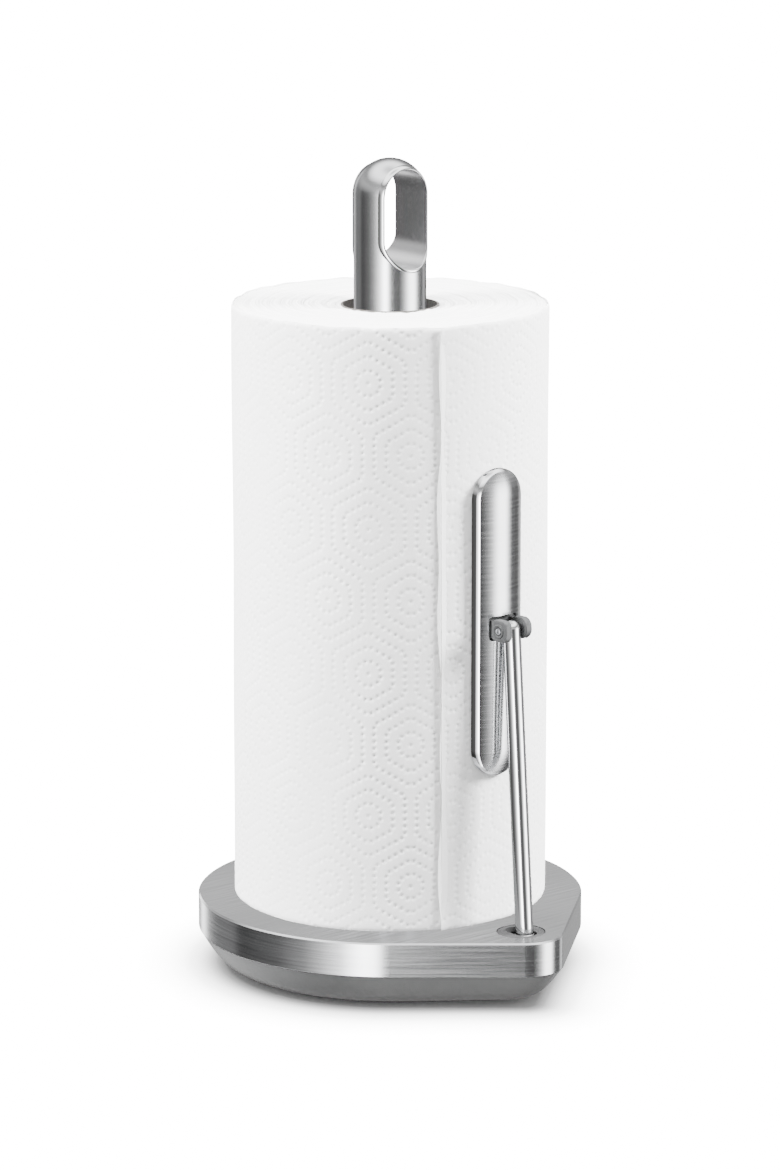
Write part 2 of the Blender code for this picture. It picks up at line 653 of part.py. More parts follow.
# ---------------------------------------------------------------- arm, in its own leaning frame
def make_hub(arm):
    hub = cylinder("arm_hub", HUB_RADIUS, 2 * HUB_HALF_WIDTH, (0, 0, 0), "X", 32)
    socket = cylinder("hub_socket", SOCKET_RADIUS, SOCKET_TOP, (0, 0, SOCKET_TOP / 2), vertices=32)
    join(hub, socket, arm)
    cut(hub, cylinder("cut_hub_axle", AXLE_RADIUS + GAP, THROUGH, (0, 0, 0), "X", 24), arm)
    seat = ROD_BOTTOM - GAP
    bore_middle = (0, 0, seat + SOCKET_TOP)
    cut(hub, cylinder("cut_hub_rod", ROD_RADIUS + ROD_FIT, 2 * SOCKET_TOP, bore_middle, vertices=32), arm)
    finish_part(hub, "zinc_steel", arm)


def make_rod(arm):
    profile = dome_profile(ROD_RADIUS, ARM_LENGTH, ROD_BOTTOM, 6) + [(0.0, ROD_BOTTOM)]
    rod = turned("arm_rod", profile, 28)
    cut(rod, cylinder("cut_rod_pin", PIN_RADIUS + GAP, THROUGH, (0, 0, ARM_LENGTH), "X", 20), arm)
    finish_part(rod, "polished_steel", arm)


def make_collar(arm):
    profile = tube_profile(COLLAR_RADIUS, ROD_RADIUS + ROD_FIT, SOCKET_TOP + GAP, COLLAR_TOP)
    finish_part(turned("arm_collar", profile, 32, closed=True), "polished_steel", arm)


# ---------------------------------------------------------------- pad, in an upright frame at its pin
def from_post(distance):
    """Y in the pad's frame of a place this far from the post axis."""
    return PIN_REACH - distance


def pad_ring(inset, distance):
    half_width = PAD_HALF_WIDTH - inset
    half_height = PAD_HALF_HEIGHT - inset
    y = from_post(distance)
    return [(u, y, v + PAD_RISE) for u, v in stadium(half_width, half_height)]


def crown_distance(inset):
    """Post axis to the crowned face at a place this far in from the pad's outline."""
    rise = math.sqrt(CROWN_RADIUS ** 2 - (PAD_HALF_WIDTH - inset) ** 2) - (CROWN_RADIUS - CROWN_HEIGHT)
    return PAD_EDGE + rise


def roll_cutter(name, radius, pad):
    """Cylinder about the post axis, which hollows the pad's back to the roll's curve."""
    tool = cylinder(name, radius, 4 * PAD_HALF_HEIGHT, (0, from_post(0.0), 0), vertices=144)
    return as_cutter(tool, pad)


def make_pad_shell(pad):
    rings = [pad_ring(inset, crown_distance(inset) - SHEET) for inset in PAD_CROWN_STEPS[:1:-1]]
    rings.append(pad_ring(SHEET, crown_distance(SHEET) - SHEET))
    rings.append(pad_ring(SHEET, PAD_BLANK))
    rings.append(pad_ring(0.0, PAD_BLANK))
    rings += [pad_ring(inset, crown_distance(inset)) for inset in PAD_CROWN_STEPS]
    shell = loft("pad_shell", rings)
    combine(shell, roll_cutter("cut_shell_back", ROLL_RADIUS + PAD_CLEARANCE, pad), "DIFFERENCE")
    half_width = EAR_OUTSIDE + GAP
    half_height = EAR_RADIUS + GAP
    low = (-half_width, from_post(PAD_FACE + SHEET), -half_height)
    cut(shell, box("cut_shell_window", low, (half_width, from_post(PAD_EDGE), half_height)), pad)
    finish_part(shell, "brushed_steel", pad)


def make_pad_backing(pad):
    inset = SHEET + GAP
    rings = [pad_ring(inset, PAD_BLANK), pad_ring(inset, BACKING_FRONT)]
    backing = loft("pad_backing", rings)
    hollow = ROLL_RADIUS + PAD_CLEARANCE + BACKING_RECESS
    combine(backing, roll_cutter("cut_backing_back", hollow, pad), "DIFFERENCE")
    depth = BACKING_FRONT - CLIP_SCREW_LAND - ROLL_RADIUS
    for i, side in enumerate((-1, 1)):
        place = (0.0, from_post(BACKING_FRONT), side * CLIP_SCREW_RISE)
        head_place = (0.0, from_post(ROLL_RADIUS + depth / 2), side * CLIP_SCREW_RISE)
        shank = cylinder(f"cut_backing_screw_{i}", CLIP_SCREW_RADIUS + GAP, THROUGH, place, "Y", 16)
        head = cylinder(f"cut_backing_head_{i}", CLIP_SCREW_HEAD + GAP, depth, head_place, "Y", 20)
        cut(backing, shank, pad)
        cut(backing, head, pad)
    finish_part(backing, "clip_plastic", pad)


def make_pad_clip(pad):
    base_back = from_post(BACKING_FRONT + GAP)
    base_front = from_post(CLIP_BASE_FRONT)
    clip = box("pad_clip", (-CLIP_BASE_HALF_WIDTH, base_front, -CLIP_BASE_HALF_HEIGHT),
               (CLIP_BASE_HALF_WIDTH, base_back, CLIP_BASE_HALF_HEIGHT))
    root = from_post(CLIP_BASE_FRONT - EAR_ROOT)
    ear = arc(EAR_RADIUS, -math.pi / 2, -3 * math.pi / 2, 12) + [(root, EAR_RADIUS), (root, -EAR_RADIUS)]
    middle = (EAR_INSIDE + EAR_OUTSIDE) / 2
    for name, side in (("ear_left", -1), ("ear_right", 1)):
        join(clip, plate(name, ear, EAR_OUTSIDE - EAR_INSIDE, (side * middle, 0.0, 0.0), "X"), pad)
    cut(clip, cylinder("cut_clip_pin", PIN_RADIUS + GAP, THROUGH, (0, 0, 0), "X", 20), pad)
    for i, side in enumerate((-1, 1)):
        place = (0.0, base_back, side * CLIP_SCREW_RISE)
        cut(clip, cylinder(f"cut_clip_screw_{i}", CLIP_SCREW_RADIUS + GAP, THROUGH, place, "Y", 16), pad)
    finish_part(clip, "clip_plastic", pad)


def make_clip_pin(pad):
    profile = rod_profile(PIN_RADIUS, PIN_HALF_LENGTH, PIN_CHAMFER)
    pin = turned("clip_pin", profile, 20, turn=(0.0, math.pi / 2, 0.0))
    finish_part(pin, "polished_steel", pad)


def make_clip_screws(pad):
    head_back = ROLL_RADIUS + PAD_CLEARANCE + BACKING_RECESS + CLIP_SCREW_SUNK
    head_front = BACKING_FRONT - CLIP_SCREW_LAND - GAP
    tip = CLIP_BASE_FRONT - CLIP_SCREW_SUNK
    profile = [
        (0.0, tip), (CLIP_SCREW_RADIUS, tip), (CLIP_SCREW_RADIUS, head_front),
        (CLIP_SCREW_HEAD, head_front), (CLIP_SCREW_HEAD, head_back), (0.0, head_back),
    ]
    for i, side in enumerate((-1, 1)):
        place = (0.0, from_post(0.0), side * CLIP_SCREW_RISE)
        screw = turned(f"clip_screw_{i + 1}", profile, 12, turn=(math.pi / 2, 0.0, 0.0), location=place)
        finish_part(screw, "zinc_steel", pad)


def main():
    make_cover()
    make_pan()
    make_foot()
    make_ballast()
    make_pan_screws()
    make_post()
    make_slot_liner()
    make_post_fixing()
    make_roll(frame("roll_axis", (0.0, 0.0, 0.0)))
    make_bracket()
    make_bracket_screws()
    make_axle()
    make_springs()
    make_bezel()
    arm = frame("arm_axis", (0.0, -PIVOT_REACH, PIVOT_HEIGHT), tilt=-ARM_LEAN)
    make_hub(arm)
    make_rod(arm)
    make_collar(arm)
    pad = frame("pad_axis", (0.0, 0.0, ARM_LENGTH), tilt=ARM_LEAN, parent=arm)
    make_pad_shell(pad)
    make_pad_backing(pad)
    make_pad_clip(pad)
    make_clip_pin(pad)
    make_clip_screws(pad)


clear_scene()
PARTS = new_collection("paper_towel_holder")
CUTTERS = new_collection("cutters")
main()
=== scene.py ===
"""Looks of a paper towel holder with one fitted roll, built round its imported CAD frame.

Units are metres and +Z is up. The origin is on the post's axis at the standing surface, and the arm
stands on the -Y side. Angles in plan are counter-clockwise from +X.
"""
import json
import math

import bmesh
import bpy
import numpy as np
from mathutils import Matrix, Vector


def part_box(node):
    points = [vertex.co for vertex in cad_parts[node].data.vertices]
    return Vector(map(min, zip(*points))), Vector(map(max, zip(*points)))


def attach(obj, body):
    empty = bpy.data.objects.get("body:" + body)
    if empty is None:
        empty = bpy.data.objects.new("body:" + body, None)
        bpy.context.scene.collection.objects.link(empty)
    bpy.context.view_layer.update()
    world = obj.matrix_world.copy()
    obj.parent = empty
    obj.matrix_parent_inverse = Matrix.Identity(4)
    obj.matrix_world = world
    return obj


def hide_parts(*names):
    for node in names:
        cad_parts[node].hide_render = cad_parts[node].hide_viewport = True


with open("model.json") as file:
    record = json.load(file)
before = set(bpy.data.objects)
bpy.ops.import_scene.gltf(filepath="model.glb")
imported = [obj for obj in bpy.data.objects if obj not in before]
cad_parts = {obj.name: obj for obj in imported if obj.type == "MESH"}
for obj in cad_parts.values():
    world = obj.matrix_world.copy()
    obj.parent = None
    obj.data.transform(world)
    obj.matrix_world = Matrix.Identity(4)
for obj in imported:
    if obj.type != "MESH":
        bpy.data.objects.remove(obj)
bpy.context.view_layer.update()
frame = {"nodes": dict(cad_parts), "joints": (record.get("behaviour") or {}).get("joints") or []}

MM = 0.001
SHARP_ANGLE = math.radians(32)

# The photographed steel hardly shows the roll and post, so pieces in these slots aren't mirrored in it.
UNMIRRORED_SLOTS = ("white_paper", "card", "satin_steel")

# ---------- places read from the frame
COVER_LOW, COVER_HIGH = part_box("base_cover")
POST_LOW, POST_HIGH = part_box("post_tube")
LINER_LOW, LINER_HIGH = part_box("slot_liner")
ROLL_LOW, ROLL_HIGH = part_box("paper_roll")
CORE_LOW, CORE_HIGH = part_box("roll_core")
PAD_LOW, PAD_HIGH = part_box("pad_shell")
BEZEL_LOW, BEZEL_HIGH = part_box("arm_bezel")
PAN_LOW, PAN_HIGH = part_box("base_pan")
CLIP_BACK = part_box("pad_clip")[1].y
JOINTS = {joint["name"]: joint for joint in frame["joints"]}
PIVOT = Vector(JOINTS["arm_swing"]["pos_m"])
PIN = Vector(JOINTS["pad_tilt"]["pos_m"])

# ---------- sizes of the visible pieces
NOSE_RADIUS = 18.5 * MM
BASE_RADIUS = COVER_HIGH.y
NOSE_REACH = -COVER_LOW.y - NOSE_RADIUS
BASE_TOP = COVER_HIGH.z
SKIRT_BOTTOM = COVER_LOW.z
SHEET = 0.8 * MM  # the pressed steel's thickness
GAP = 0.3 * MM  # between the cover and what stands inside it
CHAMFER = 0.7 * MM
HEM = 0.25 * MM  # rounding of the skirt's lower edge

BEZEL_MIDDLE = (BEZEL_LOW.y + BEZEL_HIGH.y) / 2
BEZEL_RADIUS = 10.9 * MM
BEZEL_SLOT_HALF_WIDTH = 5.0 * MM
BEZEL_SLOT_HALF_LENGTH = 8.5 * MM
BEZEL_GROOVES = 6
BEZEL_GROOVE_PITCH = 1.5 * MM
BEZEL_GROOVE_WIDTH = 0.4 * MM
BEZEL_GROOVE_DEPTH = 0.12 * MM

PAN_WALL = 2.2 * MM
PAN_LEDGE = 17.7 * MM  # height where the bowl's side meets its rim
PAN_RIM_TOP = BASE_TOP - 9.5 * MM
PAN_FLAT_INSET = 18.5 * MM
PAN_CURVE_STEPS = 16
NOSE_TAPER = 0.45  # share of the bowl's inset that its nose loses in radius
NOSE_DRAW = 0.93  # share of the inset that the nose's centre draws back
BOSS_SPOTS = [(44 * MM, 44 * MM), (-44 * MM, 44 * MM), (50 * MM, -38 * MM), (-50 * MM, -38 * MM)]
BOSS_RADIUS = 5.2 * MM
POCKET_RADIUS = 3.9 * MM
POCKET_TOP = 6.1 * MM
BORE_RADIUS = 2.05 * MM

POST_RADIUS = POST_HIGH.x
POST_WALL = 1.2 * MM
DOME_CENTRE = POST_HIGH.z - POST_RADIUS
LINER_WALL = 0.9 * MM
SLOT_HALF_WIDTH = LINER_HIGH.x - LINER_WALL
SLOT_CENTRE = (LINER_LOW.z + LINER_HIGH.z) / 2
SLOT_HALF_HEIGHT = (LINER_HIGH.z - LINER_LOW.z) / 2 - LINER_WALL
LIP_WIDTH = 1.7 * MM
LIP_PROUD = 0.55 * MM
LIP_CLEARANCE = 0.04 * MM

ROLL_RADIUS = ROLL_HIGH.x
ROLL_BOTTOM = ROLL_LOW.z
ROLL_TOP = ROLL_HIGH.z
LAP = 0.35 * MM  # how much the outermost turn gains on the one under it
PAPER = 0.25 * MM
SHEET_CELL = 0.67 * MM  # mesh size; a finer one passes the export's limit of triangles
SHEET_INSET = 0.25 * MM  # keeps the outermost sheet inside the roll's radius
END_GAP = 0.15 * MM  # keeps the paper's lower end off the cover
SWELL_DEPTH = 0.35 * MM
RIM_DEPTH = 0.6 * MM  # unevenness of the sheets' upper rim
LOOSE_EDGE = math.radians(-112.7)  # direction of the loose sheet's edge from the post
EMBOSS_COLUMNS = 12  # rosettes round the roll
EMBOSS_RING = 5.5 * MM  # distance between the hexagonal rings of dots
EMBOSS_RINGS = 3
EMBOSS_DOT_PITCH = 3.1 * MM
EMBOSS_DOT = 0.62 * MM
EMBOSS_DEPTH = 0.54 * MM
EMBOSS_CENTRE = (6.0 * MM, 155.2 * MM)  # one rosette: distance round the roll from the loose edge, and height

CORE_WALL = 0.85 * MM
CORE_GAP = 0.15 * MM  # between the core and the paper
SEAM_RISE = 75.0 * MM  # height of one turn of the core's spiral seam
SEAM_WIDTH = 0.02  # in turns
SEAM_DEPTH = 0.12 * MM

ROD_RADIUS = 4.1 * MM
ROD_START = 4.0 * MM  # distances along the rod from the axle
COLLAR_BOTTOM = 8.3 * MM
COLLAR_TOP = 11.5 * MM
COLLAR_RADIUS = 4.6 * MM
COLLAR_BEAD = 0.5 * MM
COLLAR_CLEARANCE = 0.02 * MM
ARM_UP = (PIN - PIVOT).normalized()
ARM_LENGTH = (PIN - PIVOT).length

# ---------- camera and studio
CAMERA_AZIMUTH = math.radians(-40.4)
CAMERA_ELEVATION = math.radians(12.65)
CAMERA_DISTANCE = 2.2734
CAMERA_LENS = 150.8
AIM = Vector((0.0, 0.0, 0.1802))

# Radiance of the studio seen in reflections: (degrees to the right of the camera, level).
STUDIO_PANELS = [
    (-180, 0.85), (-168, 0.85), (-160, 0.4), (-155, 5.0), (-150, 5.0), (-142, 0.7), (-129, 0.3), (-107, 0.28),
    (-103, 0.08), (-97, 0.08), (-70, 0.2), (-52, 0.55), (-42, 1.4), (-29, 3.8), (-16, 15.0), (-9, 13.0),
    (-5, 4.0), (-3, 0.8), (3, 0.25), (14, 0.17), (30, 0.11), (42, 0.6), (52, 1.8), (60, 5.0), (68, 9.0),
    (84, 9.0), (92, 2.5), (100, 0.25), (124, 0.15), (136, 1.8), (150, 0.3), (180, 0.95),
]
# Radiance high above the object: (sine of the elevation, level).
STUDIO_CEILING = [(0.0, 1.1), (0.35, 0.9), (0.55, 0.35), (0.8, 3.8), (0.93, 3.8), (1.0, 1.5)]
CEILING_FROM = 0.08  # sine of the elevation where the panels begin to give way to it
CEILING_FULL = 0.35  # and where it has taken over
# Share of the panels' level low down: (1 + sine of the elevation, share).
STUDIO_BELOW = [(0.0, 1.0), (0.15, 0.5), (0.55, 0.5), (0.7, 1.0), (1.0, 1.0)]
PANEL_PEAK = 16.0  # the level that white stands for in the studio's ramps
SOFT_BELOW = 0.3  # level of the diffuse light from below, and from above
SOFT_ABOVE = 2.0
SOFT_FROM = -0.35  # sines of the elevation between which it rises
SOFT_FULL = 0.15
FLOOR_WHITE = 17.0  # radiance of plain white, seen by the camera only
# the floor's own grey, kept low to deepen the painted shadow near the base
FLOOR_SHADE = 0.57
FLOOR_GAP = 0.1 * MM  # keeps the floor clear of the foot pad's lower face
WHITE_SHARE = "white_share"
# How the floor goes from its own colour to white, the lower shares near the base painting part of its shadow:
# (distance outside the base's outline, share of white).
FLOOR_FADE = [
    (30.0, 1.0), (32 * MM, 1.0), (22 * MM, 0.84), (15 * MM, 0.68), (8 * MM, 0.46), (4 * MM, 0.29), (0.0, 0.2),
    (-3 * MM, 0.14), (-6 * MM, 0.075), (-9 * MM, 0.025), (-13 * MM, 0.0),
]


# ---------- mesh helpers
def mesh_object(name, vertices, faces):
    """Object from points and faces, with its faces as they are given."""
    mesh = bpy.data.meshes.new(name)
    mesh.from_pydata(np.asarray(vertices).tolist(), [], faces)
    obj = bpy.data.objects.new(name, mesh)
    bpy.context.scene.collection.objects.link(obj)
    return obj


def from_faces(name, vertices, faces):
    """Object from points and faces, with its faces turned outwards."""
    obj = mesh_object(name, vertices, faces)
    mesh = obj.data
    shell = bmesh.new()
    shell.from_mesh(mesh)
    bmesh.ops.recalc_face_normals(shell, faces=shell.faces)
    shell.to_mesh(mesh)
    shell.free()
    return obj


def strip_faces(rows, columns, cyclic_rows=False):
    """Quads between rows of points, each row being a closed ring."""
    faces = []
    for r in range(rows if cyclic_rows else rows - 1):
        lower = r * columns
        upper = ((r + 1) % rows) * columns
        for c in range(columns):
            d = (c + 1) % columns
            faces.append((lower + c, lower + d, upper + d, upper + c))
    return faces


def loft(name, rings, cyclic=False):
    """Closed body through rings of equal count: capped at both ends, or joined end to end."""
    rows, columns = len(rings), len(rings[0])
    vertices = np.asarray(rings, float).reshape(-1, 3)
    faces = strip_faces(rows, columns, cyclic)
    if not cyclic:
        faces.append(tuple(range(columns)))
        faces.append(tuple((rows - 1) * columns + c for c in range(columns)))
    return from_faces(name, vertices, faces)


def turned(name, profile, steps, matrix=None, closed=False):
    """Body of revolution about Z from (radius, height) points; closed joins its last point to its first."""
    angles = np.linspace(0.0, 2 * math.pi, steps, endpoint=False)
    vertices = []
    faces = []
    rows = []
    for radius, height in profile:
        if radius == 0.0:
            rows.append([len(vertices)])
            vertices.append((0.0, 0.0, height))
            continue
        rows.append(list(range(len(vertices), len(vertices) + steps)))
        vertices += [(radius * math.cos(a), radius * math.sin(a), height) for a in angles]
    pairs = list(zip(rows, rows[1:]))
    if closed:
        pairs.append((rows[-1], rows[0]))
    for lower, upper in pairs:
        for i in range(steps):
            j = (i + 1) % steps
            face = [lower[i % len(lower)], lower[j % len(lower)]]
            face += [upper[j % len(upper)], upper[i % len(upper)]]
            faces.append(list(dict.fromkeys(face)))
    obj = from_faces(name, vertices, faces)
    if matrix is not None:
        obj.data.transform(matrix)
    return obj


def arc(radius, start, end, steps, centre=(0.0, 0.0)):
    angles = np.linspace(start, end, steps + 1)
    return [(centre[0] + radius * math.cos(a), centre[1] + radius * math.sin(a)) for a in angles]


def teardrop(round_radius, nose_radius, reach, steps=150, nose_steps=40):
    """Plan outline: a large arc about the post and a small one at -Y, joined by their tangents."""
    half = math.acos((round_radius - nose_radius) / reach)
    nose = -math.pi / 2
    large = arc(round_radius, nose + half, nose + 2 * math.pi - half, steps)
    return large + arc(nose_radius, nose - half, nose + half, nose_steps, (0.0, -reach))


def cover_plan(inset):
    return teardrop(BASE_RADIUS - inset, NOSE_RADIUS - inset, NOSE_REACH)


def stadium(half_width, half_length, steps=40, side_steps=1):
    """Closed outline with straight sides along its second axis and round ends."""
    middle = half_length - half_width
    right = [(half_width, -middle + 2 * middle * i / side_steps) for i in range(1, side_steps)]
    left = [(-half_width, middle - 2 * middle * i / side_steps) for i in range(1, side_steps)]
    upper = arc(half_width, 0.0, math.pi, steps, (0.0, middle))
    lower = arc(half_width, math.pi, 2 * math.pi, steps, (0.0, -middle))
    return upper + left + lower + right


def rounded_box_outline(half_width, half_height, radii, steps=10):
    """Outline with four corner radii, counter-clockwise from the corner at +u +v."""
    points = []
    corners = [(1, 1), (-1, 1), (-1, -1), (1, -1)]
    for i, (side, end) in enumerate(corners):
        radius = radii[i]
        centre = (side * (half_width - radius), end * (half_height - radius))
        points += arc(radius, i * math.pi / 2, (i + 1) * math.pi / 2, steps, centre)
    return points


def rings_of(plan, sections):
    """Outlines of a plan at each section (inset, height)."""
    return [[(x, y, height) for x, y in plan(inset)] for inset, height in sections]


def about_z(radius, height, angles):
    """Points about Z at these angles. Radius and height are each one number, or one per angle."""
    heights = np.broadcast_to(height, angles.shape)
    return np.stack((radius * np.cos(angles), radius * np.sin(angles), heights), -1)


def prism(name, outline, low, high, place):
    """Solid from an outline; place turns (u, v, w) into a point, with w from low to high."""
    return loft(name, [[place(u, v, w) for u, v in outline] for w in (low, high)])


def upright_cylinders(name, spots, radius, low, high, steps=32):
    """One mesh of several upright cylinders."""
    vertices = []
    faces = []
    for x, y in spots:
        start = len(vertices)
        for height in (low, high):
            vertices += [(x + u, y + v, height) for u, v in arc(radius, 0.0, 2 * math.pi, steps)[:-1]]
        faces += [tuple(start + i for i in face) for face in strip_faces(2, steps)]
        faces.append(tuple(range(start, start + steps)))
        faces.append(tuple(range(start + steps, start + 2 * steps)))
    return from_faces(name, vertices, faces)


def apply_modifiers(obj):
    bpy.context.view_layer.update()
    evaluated = obj.evaluated_get(bpy.context.evaluated_depsgraph_get())
    mesh = bpy.data.meshes.new_from_object(evaluated)
    obj.modifiers.clear()
    obj.data = mesh


def carve(obj, tool, operation="DIFFERENCE"):
    """Apply a boolean with a tool object, and remove the tool."""
    modifier = obj.modifiers.new("carve", "BOOLEAN")
    modifier.operation = operation
    modifier.solver = "EXACT"
    modifier.object = tool
    apply_modifiers(obj)
    bpy.data.objects.remove(tool, do_unlink=True)


def soften(obj, width):
    """Round the edges of a small hard piece."""
    bevel = obj.modifiers.new("soft_edges", "BEVEL")
    bevel.width = width
    bevel.segments = 3
    bevel.limit_method = "ANGLE"
    bevel.angle_limit = math.radians(40)
    bevel.use_clamp_overlap = True
    apply_modifiers(obj)


def settle(obj, materials, body, slot, *nodes):
    """Give a piece its materials and shading, and put it on its body in place of CAD nodes."""
    obj.data.materials.clear()
    for material in materials:
        obj.data.materials.append(material)
    obj.data.shade_smooth()
    obj.data.set_sharp_from_angle(angle=SHARP_ANGLE)
    obj.visible_glossy = slot not in UNMIRRORED_SLOTS
    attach(obj, body)
    if nodes:
        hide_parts(*nodes)


# ---------- material helpers
NOISE_LOW = 0.3  # a noise mostly stays between these two
NOISE_HIGH = 0.7


class Graph:
    """Short ways to add nodes to a node tree."""

    def __init__(self, tree):
        self.tree = tree

    def node(self, kind, **settings):
        made = self.tree.nodes.new(kind)
        for key, value in settings.items():
            setattr(made, key, value)
        return made

    def wire(self, output, target):
        self.tree.links.new(output, target)

    def math(self, operation, first, second):
        made = self.node("ShaderNodeMath", operation=operation)
        for socket, value in zip(made.inputs, (first, second)):
            if isinstance(value, (int, float)):
                socket.default_value = value
            else:
                self.wire(value, socket)
        return made.outputs[0]

    def spread(self, value, low, high, start=NOISE_LOW, end=NOISE_HIGH):
        """Value from start..end mapped to low..high."""
        made = self.node("ShaderNodeMapRange")
        for name, number in (("From Min", start), ("From Max", end), ("To Min", low), ("To Max", high)):
            made.inputs[name].default_value = number
        self.wire(value, made.inputs["Value"])
        return made.outputs["Result"]

    def mixed_shaders(self, share, first, second):
        """first where share is 0 and second where it is 1, as with either below."""
        made = self.node("ShaderNodeMixShader")
        self.wire(share, made.inputs["Fac"])
        self.wire(first, made.inputs[1])
        self.wire(second, made.inputs[2])
        return made.outputs["Shader"]

    def levels(self, value, stops, peak):
        """Grey level for a value, from stops of (position in 0..1, level up to the peak)."""
        ramp = self.node("ShaderNodeValToRGB")
        elements = ramp.color_ramp.elements
        elements[0].position = stops[0][0]
        elements[1].position = stops[-1][0]
        for position, _ in stops[1:-1]:
            elements.new(position)
        for element, (_, level) in zip(elements, stops):
            grey = level / peak
            element.color = (grey, grey, grey, 1.0)
        self.wire(value, ramp.inputs["Fac"])
        return ramp.outputs["Color"]


class Surface(Graph):
    """A Principled material and short ways to add nodes to it."""

    def __init__(self, name, colour, metallic, roughness):
        self.material = bpy.data.materials.new(name)
        self.material.use_nodes = True
        super().__init__(self.material.node_tree)
        self.shader = self.tree.nodes["Principled BSDF"]
        self.shader.inputs["Base Color"].default_value = (*colour, 1.0)
        self.shader.inputs["Metallic"].default_value = metallic
        self.shader.inputs["Roughness"].default_value = roughness
        self.place = self.node("ShaderNodeTexCoord").outputs["Object"]

    def noise(self, scale, detail, stretch=(1.0, 1.0, 1.0)):
        """Noise over the place on the object, which is scaled along each axis first."""
        mapping = self.node("ShaderNodeMapping")
        mapping.inputs["Scale"].default_value = stretch
        self.wire(self.place, mapping.inputs["Vector"])
        made = self.node("ShaderNodeTexNoise")
        made.inputs["Scale"].default_value = scale
        made.inputs["Detail"].default_value = detail
        self.wire(mapping.outputs["Vector"], made.inputs["Vector"])
        return made.outputs["Fac"]

    def tint(self, value, dark, light):
        """Base colour between two shades, after a noise."""
        ramp = self.node("ShaderNodeValToRGB")
        stops = zip(ramp.color_ramp.elements, (NOISE_LOW, NOISE_HIGH), (dark, light))
        for element, position, colour in stops:
            element.position = position
            element.color = (*colour, 1.0)
        self.wire(value, ramp.inputs["Fac"])
        self.wire(ramp.outputs["Color"], self.shader.inputs["Base Color"])

    def specular(self, level):
        self.shader.inputs["Specular IOR Level"].default_value = level

    def dark_outline(self, level):
        """Darken a metal where it is seen at a grazing angle."""
        self.shader.inputs["Specular Tint"].default_value = (level, level, level, 1.0)

    def rough(self, value, low, high):
        """Roughness between two levels, after a noise."""
        self.wire(self.spread(value, low, high), self.shader.inputs["Roughness"])

    def bump(self, value, distance, strength):
        """Add a relief of this height on top of any already there."""
        made = self.node("ShaderNodeBump")
        made.inputs["Distance"].default_value = distance
        made.inputs["Strength"].default_value = strength
        self.wire(value, made.inputs["Height"])
        target = self.shader.inputs["Normal"]
        if target.links:
            self.wire(target.links[0].from_socket, made.inputs["Normal"])
        self.wire(made.outputs["Normal"], target)

    def brush_across(self, amount):
        """Stretch highlights upright, across horizontal brush lines."""
        tangent = self.node("ShaderNodeTangent", direction_type="RADIAL", axis="Z")
        self.wire(tangent.outputs["Tangent"], self.shader.inputs["Tangent"])
        self.shader.inputs["Anisotropic"].default_value = amount
        self.shader.inputs["Anisotropic Rotation"].default_value = 0.25

    def facing_up(self, nearly_level=0.9):
        """1 on level faces and 0 on upright ones."""
        parts = self.node("ShaderNodeSeparateXYZ")
        self.wire(self.node("ShaderNodeNewGeometry").outputs["Normal"], parts.inputs["Vector"])
        return self.math("GREATER_THAN", self.math("ABSOLUTE", parts.outputs["Z"], 0.0), nearly_level)

    def either(self, choice, first, second):
        made = self.node("ShaderNodeMix", data_type="FLOAT")
        self.wire(choice, made.inputs["Factor"])
        self.wire(first, made.inputs["A"])
        self.wire(second, made.inputs["B"])
        return made.outputs["Result"]


def brushed_steel():
    """Steel with fine horizontal brush lines on upright faces, and lines along X on level ones."""
    surface = Surface("brushed_steel", (0.60, 0.605, 0.615), 1.0, 0.28)
    upright = surface.noise(1.0, 4.0, (26.0, 26.0, 1000.0))
    level = surface.noise(1.0, 4.0, (26.0, 1000.0, 1.0))
    lines = surface.either(surface.facing_up(), upright, level)
    surface.tint(lines, (0.49, 0.495, 0.505), (0.68, 0.685, 0.695))
    surface.rough(lines, 0.19, 0.27)
    surface.bump(lines, 0.02 * MM, 0.5)
    surface.brush_across(0.9)
    return surface.material


def satin_steel():
    """Turned and lightly blasted steel tube."""
    surface = Surface("satin_steel", (0.64, 0.645, 0.655), 1.0, 0.24)
    rings = surface.noise(1.0, 3.0, (60.0, 60.0, 3200.0))
    clouds = surface.noise(60.0, 2.0)
    surface.tint(clouds, (0.62, 0.625, 0.635), (0.67, 0.675, 0.685))
    surface.rough(rings, 0.21, 0.27)
    surface.bump(rings, 0.004 * MM, 0.4)
    surface.dark_outline(0.2)
    return surface.material


def polished_steel():
    surface = Surface("polished_steel", (0.80, 0.805, 0.81), 1.0, 0.07)
    clouds = surface.noise(90.0, 3.0)
    scratches = surface.noise(1.0, 2.0, (4000.0, 4000.0, 120.0))
    surface.tint(clouds, (0.77, 0.775, 0.78), (0.82, 0.825, 0.83))
    surface.rough(scratches, 0.05, 0.10)
    surface.dark_outline(0.35)
    return surface.material


def grained(name, colour, metallic, roughness, scale, detail, shades, roughnesses, relief=0.0, strength=0.0):
    """Material whose shade, roughness and relief all follow one noise."""
    surface = Surface(name, colour, metallic, roughness)
    grain = surface.noise(scale, detail)
    surface.tint(grain, *shades)
    surface.rough(grain, *roughnesses)
    if relief:
        surface.bump(grain, relief, strength)
    return surface.material


def moulded_plastic(name, colour, roughness, specular=0.5):
    """Grey moulded plastic with a fine spark texture."""
    surface = Surface(name, colour, 0.0, roughness)
    spark = surface.noise(2600.0, 2.0)
    flow = surface.noise(35.0, 2.0)
    surface.tint(flow, tuple(0.93 * c for c in colour), tuple(1.07 * c for c in colour))
    surface.rough(spark, roughness - 0.06, roughness + 0.08)
    surface.bump(spark, 0.02 * MM, 0.4)
    surface.specular(specular)
    return surface.material


